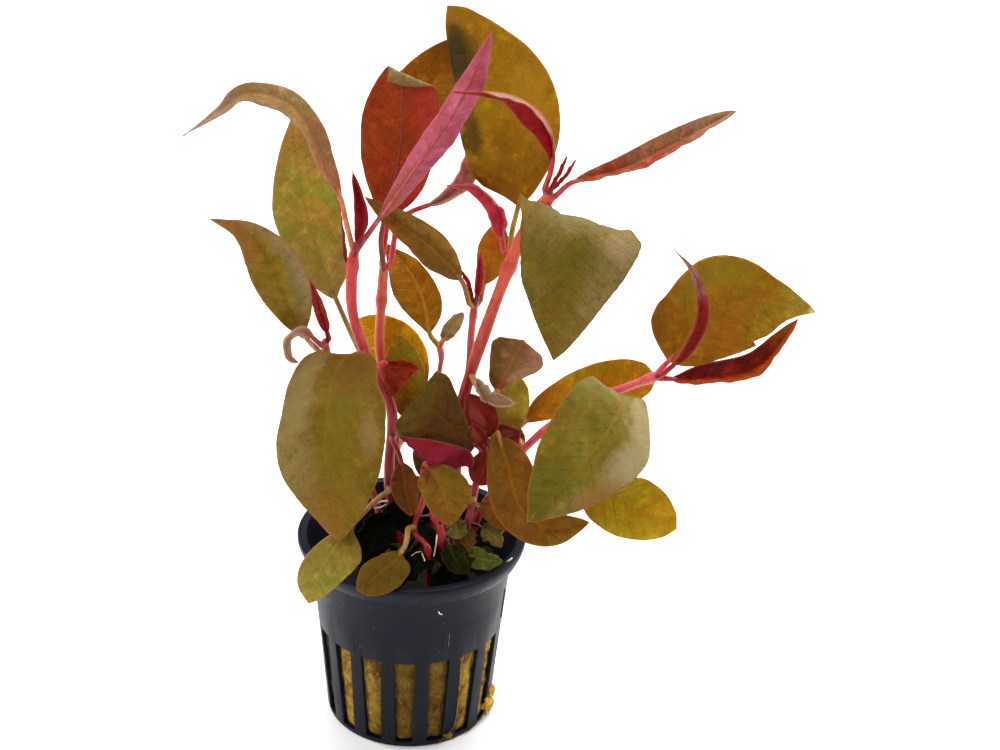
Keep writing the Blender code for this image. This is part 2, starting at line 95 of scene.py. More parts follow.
def ramp(tree, value, low, high, start=0.0, end=1.0):
    """start below low, end above high, and a soft change between."""
    made = node(tree, "MapRange", {0: value, 1: low, 2: high, 3: start, 4: end},
                interpolation_type="SMOOTHSTEP")
    return made.outputs[0]


def mix_tones(tree, share, first, second):
    return node(tree, "Mix", {0: share, 6: first, 7: second}, data_type="RGBA").outputs[2]


def cloud(tree, coordinates, scale, detail=3.0, roughness=0.55, distortion=0.0):
    """Soft noise, scale in patches a metre."""
    made = node(tree, "TexNoise", {"Vector": coordinates, "Scale": scale, "Detail": detail,
                                   "Roughness": roughness, "Distortion": distortion})
    return made.outputs[0]


def place_in(tree, stretch=(1, 1, 1)):
    """The object's own coordinates, stretched."""
    where = node(tree, "TexCoord").outputs["Object"]
    return node(tree, "Mapping", {"Vector": where, "Scale": stretch}).outputs[0]


def new_finish(name):
    """An empty material with its shader, ready for nodes."""
    material = bpy.data.materials.new(name)
    material.use_nodes = True
    tree = material.node_tree
    return material, tree, tree.nodes["Principled BSDF"]


def link(tree, socket, shader, name):
    tree.links.new(socket, shader.inputs[name])


def settle(piece, finish=None):
    """Bake the piece's place into its mesh, and give it its finish."""
    bpy.ops.object.select_all(action="DESELECT")
    piece.select_set(True)
    bpy.context.view_layer.objects.active = piece
    bpy.ops.object.transform_apply(location=True, rotation=True, scale=True)
    if finish:
        piece.data.materials.clear()
        piece.data.materials.append(finish)
    piece.select_set(False)


def turned_rings(name, columns, section):
    """A circle drawn out ring by ring along a section of (radius, height) in millimetres."""
    first_radius, first_height = section[0]
    bpy.ops.mesh.primitive_circle_add(vertices=columns, radius=first_radius * MM,
                                      fill_type="NOTHING", location=(0, 0, first_height * MM))
    piece = bpy.context.active_object
    piece.name = name
    piece.data.name = name
    bpy.ops.object.transform_apply(location=True, rotation=True, scale=True)
    bpy.ops.object.mode_set(mode="EDIT")
    bpy.ops.mesh.select_all(action="SELECT")
    for (low_radius, low), (radius, height) in zip(section, section[1:]):
        bpy.ops.mesh.extrude_region_move(
            TRANSFORM_OT_translate={"value": (0, 0, (height - low) * MM)})
        swell = radius / low_radius
        bpy.ops.transform.resize(value=(swell, swell, 1), center_override=(0, 0, 0))
    bpy.ops.object.mode_set(mode="OBJECT")
    return piece


def plastic_finish():
    """Dark moulded plastic with faint flow marks, dust and small scuffs."""
    material, tree, shader = new_finish("pot_plastic")
    where = place_in(tree)
    patch = cloud(tree, where, 90, 4)
    grain = cloud(tree, where, 2600, 2)
    streak = cloud(tree, place_in(tree, (1, 1, 0.12)), 700, 3)
    colour = mix_tones(tree, patch, tone(10, 11, 18), tone(20, 22, 34))
    dust = ramp(tree, cloud(tree, where, 2300, 1, 0.4), 0.775, 0.81)
    colour = mix_tones(tree, dust, colour, tone(120, 120, 125))
    link(tree, colour, shader, "Base Color")
    shine = plus(tree, ramp(tree, patch, 0.3, 0.7, 0.34, 0.46),
                 ramp(tree, streak, 0.4, 0.7, 0.0, 0.06))
    link(tree, shine, shader, "Roughness")
    shader.inputs["Specular IOR Level"].default_value = 0.1
    relief = plus(tree, grain, times(tree, streak, 1.5))
    bump = node(tree, "Bump", {"Height": relief, "Strength": 0.14, "Distance": 0.00008})
    link(tree, bump.outputs[0], shader, "Normal")
    return material


def cut_pot_slots(piece):
    """Open the slots through wall and floor, give them cheeks, and set their edges in place."""
    section = OUTER_WALL + INNER_WALL
    floor_band = (0, len(section) - 2)
    wall_band = (OUTER_WALL.index((20.45, SLOT_FOOT)), section.index((21.6, SLOT_HEAD)))
    per_slot = POT_TURNS // SLOTS
    bm = bmesh.new()
    bm.from_mesh(piece.data)
    spots = {}
    for vert in bm.verts:
        turn = math.atan2(vert.co.x, -vert.co.y)
        column = round(turn / (2 * math.pi) * POT_TURNS) % POT_TURNS
        radius = math.hypot(vert.co.x, vert.co.y) / MM
        ring = min(range(len(section)),
                   key=lambda n: abs(section[n][0] - radius) + abs(section[n][1] - vert.co.z / MM))
        spots[column, ring] = vert
    for slot in range(SLOTS):
        columns = [(slot * per_slot + shift) % POT_TURNS for shift in range(-2, 3)]
        for outer, inner in (floor_band, wall_band):
            for low in (outer, inner):
                for left, right in zip(columns, columns[1:]):
                    corners = [spots[left, low], spots[right, low], spots[right, low + 1],
                               spots[left, low + 1]]
                    shared = set(corners[0].link_faces)
                    for corner in corners[1:]:
                        shared &= set(corner.link_faces)
                    for face in shared:
                        bm.faces.remove(face)
            for left, right in zip(columns, columns[1:]):
                bm.faces.new((spots[left, outer], spots[right, outer], spots[right, inner + 1],
                              spots[left, inner + 1]))
                bm.faces.new((spots[left, outer + 1], spots[left, inner], spots[right, inner],
                              spots[right, outer + 1]))
            for side in (columns[0], columns[-1]):
                bm.faces.new((spots[side, outer], spots[side, outer + 1], spots[side, inner],
                              spots[side, inner + 1]))
    bm.faces.new([spots[column, 0] for column in range(POT_TURNS)])
    bm.faces.new([spots[column, len(section) - 1] for column in range(POT_TURNS)])
    bar_middle = 180 / SLOTS
    for (column, ring), vert in spots.items():
        slot = round(column / per_slot)
        shift = column - slot * per_slot
        height = vert.co.z / MM
        share = min(max((height - SLOT_FOOT) / (SLOT_HEAD - SLOT_FOOT), 0), 1)
        edge = SLOT_HALF_ANGLE + SLOT_FLARE * share
        angles = {0: 0, 1: edge / 2, 2: edge, 3: (edge + bar_middle) / 2, 4: bar_middle}
        turn = math.radians(slot * 2 * bar_middle + math.copysign(angles[abs(shift)], shift))
        radius = math.hypot(vert.co.x, vert.co.y)
        vert.co.x = radius * math.sin(turn)
        vert.co.y = -radius * math.cos(turn)
    bmesh.ops.delete(bm, geom=[e for e in bm.edges if not e.link_faces], context="EDGES")
    bmesh.ops.recalc_face_normals(bm, faces=bm.faces[:])
    bm.to_mesh(piece.data)
    bm.free()


def soften_edges(piece):
    """Round every sharp edge of the moulding a little."""
    bevel = piece.modifiers.new("soft_edges", "BEVEL")
    bevel.width = EDGE_ROUNDING * MM
    bevel.segments = 2
    bevel.limit_method = "ANGLE"
    bevel.angle_limit = math.radians(35)
    bpy.context.view_layer.objects.active = piece
    bpy.ops.object.modifier_apply(modifier=bevel.name)


pot = turned_rings("net_pot", POT_TURNS, OUTER_WALL + INNER_WALL)
cut_pot_slots(pot)
soften_edges(pot)
settle(pot, plastic_finish())
pot.select_set(True)
bpy.ops.object.shade_smooth_by_angle(angle=math.radians(32))
pot.select_set(False)
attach(pot, "root")
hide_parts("pot")

# The marks on the pot's wall, as fine as a hair: two dark lines of painted shade beside small
# moulded ribs, a pale line of painted highlight on the lit side of one rib, a dark line of painted
# shade in a slit at the right, and a cream fleck that sticks to it. Each is a thin line that stands
# a little proud of the plastic, given as (turn in degrees, height) along it.
WALL_FOOT_RADIUS = 20.3
WALL_SPREAD = 3.9
WALL_HEIGHT = 44
MARKS = [("pot_rib_shade_left", [(-32, 27), (-32, 32.4)], 0.12, (8, 8, 12)),
         ("pot_rib_shade_middle", [(22.5, 29.6), (22.5, 34.4)], 0.12, (8, 8, 12)),
         ("pot_rib_highlight", [(26.3, 30), (26.3, 34)], 0.07, (96, 98, 108)),
         ("pot_slit_shade", [(76, 29), (76, 37)], 0.3, (3, 3, 4)),
         ("pot_fleck", [(18.6, 41.0), (19.6, 40.2), (21.0, 40.0)], 0.16, (206, 204, 180))]


def wall_radius(height):
    """The outer radius of the pot's wall at a height, in millimetres."""
    return WALL_FOOT_RADIUS + WALL_SPREAD * height / WALL_HEIGHT


def around_pot(turn, radius, height):
    """The point at a turn in radians from the front, a radius and a height."""
    return (radius * math.sin(turn), -radius * math.cos(turn), height)


def draw_tubes(name, runs, sides=2):
    """Tubes along lists of (point in millimetres, radius in millimetres), as one mesh."""
    curve = bpy.data.curves.new(name, "CURVE")
    curve.dimensions = "3D"
    curve.bevel_depth = MM
    curve.bevel_resolution = sides
    curve.use_fill_caps = True
    for run in runs:
        spline = curve.splines.new("POLY")
        spline.points.add(len(run) - 1)
        for point, (spot, radius) in zip(spline.points, run):
            point.co = (spot[0] * MM, spot[1] * MM, spot[2] * MM, 1)
            point.radius = radius
    piece = bpy.data.objects.new(name, curve)
    bpy.context.scene.collection.objects.link(piece)
    bpy.ops.object.select_all(action="DESELECT")
    piece.select_set(True)
    bpy.context.view_layer.objects.active = piece
    bpy.ops.object.convert(target="MESH")
    piece = bpy.context.active_object
    piece.data.shade_smooth()
    piece.select_set(False)
    return piece


def mark_finish(name, colour):
    material, tree, shader = new_finish(name)
    patch = cloud(tree, place_in(tree), 900, 2)
    link(tree, mix_tones(tree, patch, tone(*colour), tone(*colour, 1.5)), shader, "Base Color")
    shader.inputs["Roughness"].default_value = 0.6
    shader.inputs["Specular IOR Level"].default_value = 0.1
    return material


for name, spots, girth, colour in MARKS:
    line = []
    for turn, height in spots:
        radius = wall_radius(height) - girth * 0.2
        line.append((around_pot(math.radians(turn), radius, height), girth))
    mark = draw_tubes(name, [line], sides=1)
    settle(mark, mark_finish(name, colour))
    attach(mark, "root")

# The rock wool: a plug of spun mineral fibre that fills the pot and holds the roots. It is gold
# and brown where it shows through the slots, nearly black with damp and algae on top, and
# loose fibres stand off it all over.
WOOL_TOP = 38.0
WOOL_TURNS = 204
WOOL_INSET = 1.4
BAR_HALF_ANGLE = 3.6
FIBRE_HALF_ANGLE = 5.2
FIBRE_GIRTH = 0.035
TUFT_GIRTH = 0.075
wool_random = np.random.default_rng(11)


def wool_radius(height, turn):
    """The plug's radius: it bulges into the slots and is pressed flat behind the bars."""
    pitch = 2 * math.pi / SLOTS
    off = abs((turn + pitch / 2) % pitch - pitch / 2)
    open_share = 1 - min(max((off - math.radians(BAR_HALF_ANGLE)) / math.radians(2.0), 0), 1)
    open_share *= min(max((SLOT_HEAD - height) / 1.5, 0), 1) * min(max((height - 1.0) / 1.5, 0), 1)
    place = Vector((math.sin(turn) * 9, math.cos(turn) * 9, height * 0.4))
    rough = noise.noise(place) * 0.45 + noise.noise(place * 3.1) * 0.25
    radius = wall_radius(height) - WOOL_INSET + open_share * (0.55 + rough)
    return radius + min(rough, 0) * (1 - open_share)


wool_section = [(wall_radius(height) - WOOL_INSET, height)
                for height in np.linspace(1.7, WOOL_TOP, 44)]
wool_section += [(radius, WOOL_TOP + 0.3) for radius in (20.5, 18, 15, 12, 9, 6, 3, 1)]
wool = turned_rings("rock_wool", WOOL_TURNS, wool_section)
for vert in wool.data.vertices:
    x, y, z = vert.co / MM
    turn = math.atan2(x, -y)
    radius = math.hypot(x, y)
    if z < WOOL_TOP + 0.1:
        x, y, z = around_pot(turn, wool_radius(z, turn), z)
        vert.co.x = x * MM
        vert.co.y = y * MM
    else:
        lump = noise.noise(Vector((x * 0.16, y * 0.16, 3))) * 1.1
        lump += noise.noise(Vector((x * 0.6, y * 0.6, 7))) * 0.4
        vert.co.z = (WOOL_TOP + 0.2 + lump * min(1, (23 - radius) / 5)) * MM
bpy.ops.object.mode_set(mode="EDIT")
bpy.ops.mesh.select_all(action="DESELECT")
bpy.ops.mesh.select_mode(type="EDGE")
bpy.ops.mesh.select_non_manifold()
bpy.ops.mesh.edge_face_add()
bpy.ops.mesh.select_all(action="SELECT")
bpy.ops.mesh.normals_make_consistent(inside=False)
bpy.ops.mesh.select_mode(type="VERT")
bpy.ops.object.mode_set(mode="OBJECT")


def minus(tree, first, second):
    return math_step(tree, "SUBTRACT", first, second)


def wool_finish(name, light):
    """Matted fibres: crossing streaks of gold, tan and brown, damp and dark on top, with painted
    shade behind the front slots and at the far left.
    """
    material, tree, shader = new_finish(name)
    where = place_in(tree)
    height = node(tree, "SeparateXYZ", {0: where}).outputs[2]
    patch = cloud(tree, where, 230, 4, 0.6)
    fibre = cloud(tree, place_in(tree, (1, 1, 0.3)), 1100, 5, 0.72, 1.6)
    cross = cloud(tree, place_in(tree, (0.4, 0.4, 1)), 900, 4, 0.7, 1.4)
    tan, gold = tone(96, 68, 16, light), tone(168, 132, 46, light)
    straw, brown = tone(206, 168, 92, light), tone(64, 42, 14, light)
    colour = mix_tones(tree, ramp(tree, patch, 0.35, 0.62), tan, gold)
    colour = mix_tones(tree, ramp(tree, fibre, 0.5, 0.68, 0.0, 0.85), colour, straw)
    colour = mix_tones(tree, ramp(tree, cross, 0.34, 0.5, 0.6, 0.0), colour, brown)
    # Painted shade: darker brown where the wool lies behind the front slots, nearly black at the
    # far left.
    across = node(tree, "SeparateXYZ", {0: where}).outputs[0]
    aside = math_step(tree, "ABSOLUTE", minus(tree, across, 0.0025))
    aside = plus(tree, aside, times(tree, patch, 0.005))
    front = ramp(tree, aside, 0.009, 0.016, 0.7, 0.0)
    colour = mix_tones(tree, front, colour, tone(66, 42, 10, light))
    left_slot_shade = ramp(tree, across, -0.0186, -0.0176, 0.95, 0.0)
    colour = mix_tones(tree, left_slot_shade, colour, tone(12, 10, 5))
    uneven = plus(tree, height, times(tree, patch, 0.006))
    damp = ramp(tree, uneven, 0.033, 0.039)
    colour = mix_tones(tree, damp, colour, mix_tones(tree, fibre, tone(6, 9, 3), tone(34, 38, 10)))
    link(tree, colour, shader, "Base Color")
    shader.inputs["Roughness"].default_value = 0.95
    shader.inputs["Specular IOR Level"].default_value = 0.15
    relief = plus(tree, fibre, cross)
    bump = node(tree, "Bump", {"Height": relief, "Strength": 0.7, "Distance": 0.0003})
    link(tree, bump.outputs[0], shader, "Normal")
    return material


settle(wool, wool_finish("wool_matted", 1.0))
wool.data.shade_smooth()


def loose_fibres(count):
    """Fibres that lie on the plug where the slots show it."""
    runs = []
    for number in range(count):
        slot = number % SLOTS
        turn = slot * 2 * math.pi / SLOTS + math.radians(wool_random.uniform(-5.5, 5.5))
        height = wool_random.uniform(2.2, 25)
        lean = wool_random.uniform(0, math.pi)
        length = wool_random.uniform(2, 7)
        bend = wool_random.uniform(-0.5, 0.5)
        run = []
        for step in range(7):
            share = step / 6 - 0.5
            along = turn + math.cos(lean + bend * share) * length * share / 21
            up = height + math.sin(lean + bend * share) * length * share
            up = min(max(up, 1.9), SLOT_HEAD - 0.2)
            pitch = 2 * math.pi / SLOTS
            middle = slot * pitch
            most = math.radians(FIBRE_HALF_ANGLE)
            along = min(max(along, middle - most), middle + most)
            arch = 0.2 * (0.25 - share * share) * wool_random.uniform(0, 2)
            radius = wool_radius(up, along) + 0.03 + arch
            run.append((around_pot(along, radius, up), FIBRE_GIRTH))
        runs.append(run)
    return runs


def tuft(turn_low, turn_high, low, high, count, reach):
    """Fibres that stick out of the slots at one place."""
    runs = []
    for number in range(count):
        turn = math.radians(wool_random.uniform(turn_low, turn_high))
        height = wool_random.uniform(low, high)
        lean = wool_random.uniform(-1.2, 0.4)
        out = wool_random.uniform(0.3, 1.0) * reach
        side = wool_random.uniform(-0.06, 0.06)
        start = wall_radius(height) - 1.3
        run = []
        for step in range(6):
            share = step / 5
            radius = start + out * math.sin(share * 1.9) / 0.95
            up = max(height + lean * out * share * share * 1.3, 0.15)
            angle = turn + side * share * share
            run.append((around_pot(angle, radius, up), TUFT_GIRTH * (1 - 0.6 * share)))
        runs.append(run)
    return runs


ROOTS = [[(22.5, 0.5), (29.5, 2.6), (34.6, 4.1), (36.1, 7.7), (36.2, 13.9), (36.1, 20.4)],
         [(45.3, 0.4), (56.6, 1.0), (66.9, 2.3), (74, 4.5)]]
fibre_runs = loose_fibres(420) + tuft(70, 88, 1.8, 7, 90, 2.2) + tuft(27, 35, 1.8, 4.5, 30, 1.5)
fibre_runs += tuft(58, 68, 12, 24, 30, 1.0)
for root in ROOTS:
    line = []
    for turn, height in root:
        radius = wall_radius(height) + 0.35
        line.append(around_pot(math.radians(turn), radius, height))
    fibre_runs.append([(spot, 0.13) for spot in line])
fibres = draw_tubes("rock_wool_fibres", fibre_runs, sides=0)


def wool_wad(name, turn, height, wide, deep, tall, finish):
    """A clump of wool that has worked out through a slot: a ball, pulled and roughened."""
    out = math.radians(turn)
    radius = wall_radius(height) - 0.3
    bpy.ops.mesh.primitive_ico_sphere_add(subdivisions=5, radius=MM, location=(0, 0, 0))
    wad = bpy.context.active_object
    wad.name = name
    wad.data.name = name
    for vert in wad.data.vertices:
        way = vert.co.normalized()
        rough = 1 + 0.5 * noise.noise(way * 1.6 + Vector((turn, 0, 0)))
        rough += 0.25 * noise.noise(way * 5)
        rough += 0.1 * noise.noise(way * 14)
        vert.co = Vector((way.x * wide, way.y * deep, way.z * tall)) * rough * MM
    wad.rotation_euler = (0, 0, out)
    wad.location = [part * MM for part in around_pot(out, radius, height)]
    settle(wad, finish)
    wad.data.shade_smooth()
    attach(wad, "root")


wool_loose = wool_finish("wool_wad", 1.6)
wool_wad("rock_wool_wad_low", 74, 3.4, 2.4, 1.3, 2.4, wool_loose)
wool_wad("rock_wool_wad_high", 79, 6.2, 1.7, 1.2, 2.2, wool_loose)
wool_wad("rock_wool_wad_foot", 31, 2.2, 1.0, 1.1, 0.8, wool_loose)
settle(fibres, wool_finish("wool_loose", 1.1))
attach(wool, "root")
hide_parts("rock_wool_plug")
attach(fibres, "root")

# The stems: smooth juicy stalks, coral to crimson, a little thicker at each joint where the
# leaves spring. They are rooted in the wool and lean apart as they rise.
STEPS_BETWEEN_POINTS = 30
JOINT_SWELL = 0.28
JOINT_REACH = 1.5


def smooth_path(points, samples=120):
    """Evenly spaced points on a smooth curve through the given ones, and its length."""
    knots = [np.array(point, float) for point in points]
    knots = [2 * knots[0] - knots[1]] + knots + [2 * knots[-1] - knots[-2]]
    fine = []
    for first in range(len(knots) - 3):
        p0, p1, p2, p3 = knots[first:first + 4]
        for step in range(STEPS_BETWEEN_POINTS):
            t = step / STEPS_BETWEEN_POINTS
            fine.append(0.5 * (2 * p1 + (p2 - p0) * t + (2 * p0 - 5 * p1 + 4 * p2 - p3) * t * t
                               + (3 * p1 - p0 - 3 * p2 + p3) * t ** 3))
    fine.append(knots[-2])
    fine = np.array(fine)
    lengths = np.concatenate([[0], np.cumsum(np.linalg.norm(np.diff(fine, axis=0), axis=1))])
    wanted = np.linspace(0, lengths[-1], samples + 1)
    path = np.stack([np.interp(wanted, lengths, fine[:, axis]) for axis in range(3)], axis=1)
    return path, lengths[-1]


def stem_finish(name, low, high, bottom, top, bands):
    """Juicy red skin, paler and pinker in streaks along its length, darker at its joints."""
    material, tree, shader = new_finish(name)
    where = place_in(tree)
    height = node(tree, "SeparateXYZ", {0: where}).outputs[2]
    climb = ramp(tree, height, bottom * MM, top * MM)
    colour = mix_tones(tree, climb, tone(*low, 0.62), tone(*high, 0.8))
    streak = cloud(tree, place_in(tree, (1, 1, 0.1)), 900, 3)
    colour = mix_tones(tree, ramp(tree, streak, 0.42, 0.68, 0.0, 0.35), colour, tone(214, 112, 96))
    blotch = cloud(tree, where, 260, 3)
    colour = mix_tones(tree, ramp(tree, blotch, 0.48, 0.72, 0.0, 0.5), colour, tone(158, 30, 38))
    for spot in bands:
        gap = math_step(tree, "ABSOLUTE", minus(tree, height, spot * MM))
        band = ramp(tree, gap, 0.0003, 0.0013, 0.4, 0.0)
        colour = mix_tones(tree, band, colour, tone(150, 28, 34))
    link(tree, colour, shader, "Base Color")
    shader.inputs["Roughness"].default_value = 0.36
    shader.inputs["Specular IOR Level"].default_value = 0.24
    shader.inputs["Subsurface Weight"].default_value = 0.12
    shader.inputs["Subsurface Radius"].default_value = (0.0012, 0.0004, 0.0003)
    shader.inputs["Subsurface Scale"].default_value = 1.0
    bump = node(tree, "Bump", {"Height": streak, "Strength": 0.25, "Distance": 0.0002})
    link(tree, bump.outputs[0], shader, "Normal")
    return material


stem_lines = []


def grow_stem(name, diameter, points, joints, finish):
    """One stem, thicker at its joints (shares of its length), with a rounded top."""
    path, length = smooth_path(points, 90)
    stem_lines.extend(path)
    run = []
    for number, spot in enumerate(path):
        share = number / (len(path) - 1)
        swell = 1.0
        for joint in joints:
            away = abs(share - joint) * length
            swell += JOINT_SWELL * math.exp(-(away / JOINT_REACH) ** 2)
        swell *= 0.98 + 0.05 * math.sin(share * 31 + diameter * 7)
        run.append((spot, diameter / 2 * swell))
    onward = (path[-1] - path[-3]) / np.linalg.norm(path[-1] - path[-3])
    for step, girth in ((0.5, 0.97), (0.9, 0.8), (1.15, 0.5), (1.25, 0.15)):
        run.append((path[-1] + onward * step * diameter / 2, diameter / 2 * girth * swell))
    piece = draw_tubes(name + "_skin", [run], sides=6)
    settle(piece, finish)
    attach(piece, "root")
    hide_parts(name)


# Each stem: its girth, its points, where it thickens as shares of its length, its colours below and
# above, the heights between which they change, and the heights of its dark bands.
STEMS = [
    ("stem_left", 2.5, [(-3, -2, 40), (-5, -3, 57.5), (-5.5, -3, 69), (-5, -3, 82),
      (-8.5, -3.5, 91.5), (-11, -3.5, 96.5), (-14, -2.8, 106), (-14.5, -2, 113), (-14, -2, 120)],
     (0.66, 0.97), (170, 14, 34), (206, 62, 64), 70, 112, (97, 119.5)),
    ("stem_back", 2.3, [(-3, 3, 40), (-4, 4, 57.5), (-5, 5, 73.5), (-8.5, 6, 93), (-8.5, 7, 104),
      (-8, 7, 113)],
     (0.9,), (160, 16, 24), (208, 92, 68), 76, 98, (106.5,)),
    ("stem_tall", 2.9, [(8, 1, 40), (10, 1, 57), (10, 2, 70.5), (11.5, 3, 84.5), (16.5, 3, 103.5),
      (21, 2, 118.5), (23.5, 1, 126), (28.5, -1, 135)],
     (0.8, 0.97), (160, 26, 34), (212, 84, 60), 78, 112, (118.5, 134)),
    ("stem_fork", 1.7, [(6, 5, 40), (8, 7, 53.5), (9.5, 8, 70), (12, 8.5, 87), (12.5, 8.5, 97.5),
      (13, 8.5, 104.5)],
     (0.97,), (176, 30, 44), (212, 92, 84), 76, 100, (104,)),
    ("stem_right", 2.0, [(12, -2, 40), (15.5, -1, 53.5), (20, 0, 62), (23.5, 0, 69), (31, -1, 78.5),
      (39.5, -2, 85.5), (46.5, -3, 90), (55, -3, 94)],
     (0.84, 0.98), (170, 34, 42), (216, 92, 100), 60, 84, (90,)),
    ("stem_thin", 1.3, [(4, 9, 40), (5, 12, 56.5), (5, 13, 72.5), (5, 13, 83.5), (5.5, 13, 89),
      (5, 13, 92)],
     (0.97,), (190, 60, 70), (204, 100, 92), 60, 92, ()),
    ("stem_side", 1.8, [(-5, -6, 40), (-7, -8, 56.5), (-12, -4, 70), (-16.5, -2, 84),
      (-20, -2, 95.5), (-20.5, -2, 98.5)],
     (0.97,), (180, 60, 56), (196, 108, 88), 60, 97, ()),
    ("stem_rosette", 1.9, [(9, -6, 40), (13, -6, 53), (15, -4, 64.5), (16.5, -2, 72.5)],
     (0.97,), (150, 12, 34), (150, 30, 40), 48, 72, ()),
    ("shoot_front", 1.5, [(5, -16, 40), (4.5, -14, 52), (1, -11, 55.5), (3, -9, 63), (3, -9, 71)],
     (0.35, 0.97), (150, 8, 22), (172, 30, 44), 48, 70, ()),
    ("stump", 2.0, [(8.5, -12, 40), (7.5, -11, 54), (5.5, -9, 58.5)],
     (0.7,), (150, 10, 26), (190, 40, 66), 50, 60, ())]
for name, diameter, points, joints, low, high, bottom, top, bands in STEMS:
    finish = stem_finish(name + "_skin", low, high, bottom, top, bands)
    grow_stem(name, diameter, points, joints, finish)

# How a leaf is made: a thin soft blade that springs from a juicy stalk, with a midrib, arching
# side veins that quilt it, and a wavy margin. Each is laid along its own midrib as a fine grid,
# given its thickness, and joined with its stalk, which runs on under the blade as the midrib.
FRONT = (0.05, -0.9, 0.42)
BACK = (-0.1, 0.95, -0.2)
BLADE_COLUMNS = 29
BLADE_ROWS = 65
BLADE_THICKNESS = 0.34
STALK_RADIUS = 0.6
RIB_END_RADIUS = 0.12
FOLD_STEPS = 24
VEIN_STEP = 3.4
VEIN_SLANT = 0.8
RIB_GROOVE_DEPTH = 0.16
RIB_GROOVE_WIDTH = 0.5
RIB_END = 0.93
FAR_FROM_STEM = 9
USUAL_SHARES = (0, 0.07, 0.15, 0.27, 0.4, 0.53, 0.66, 0.78, 0.88, 0.95, 1)


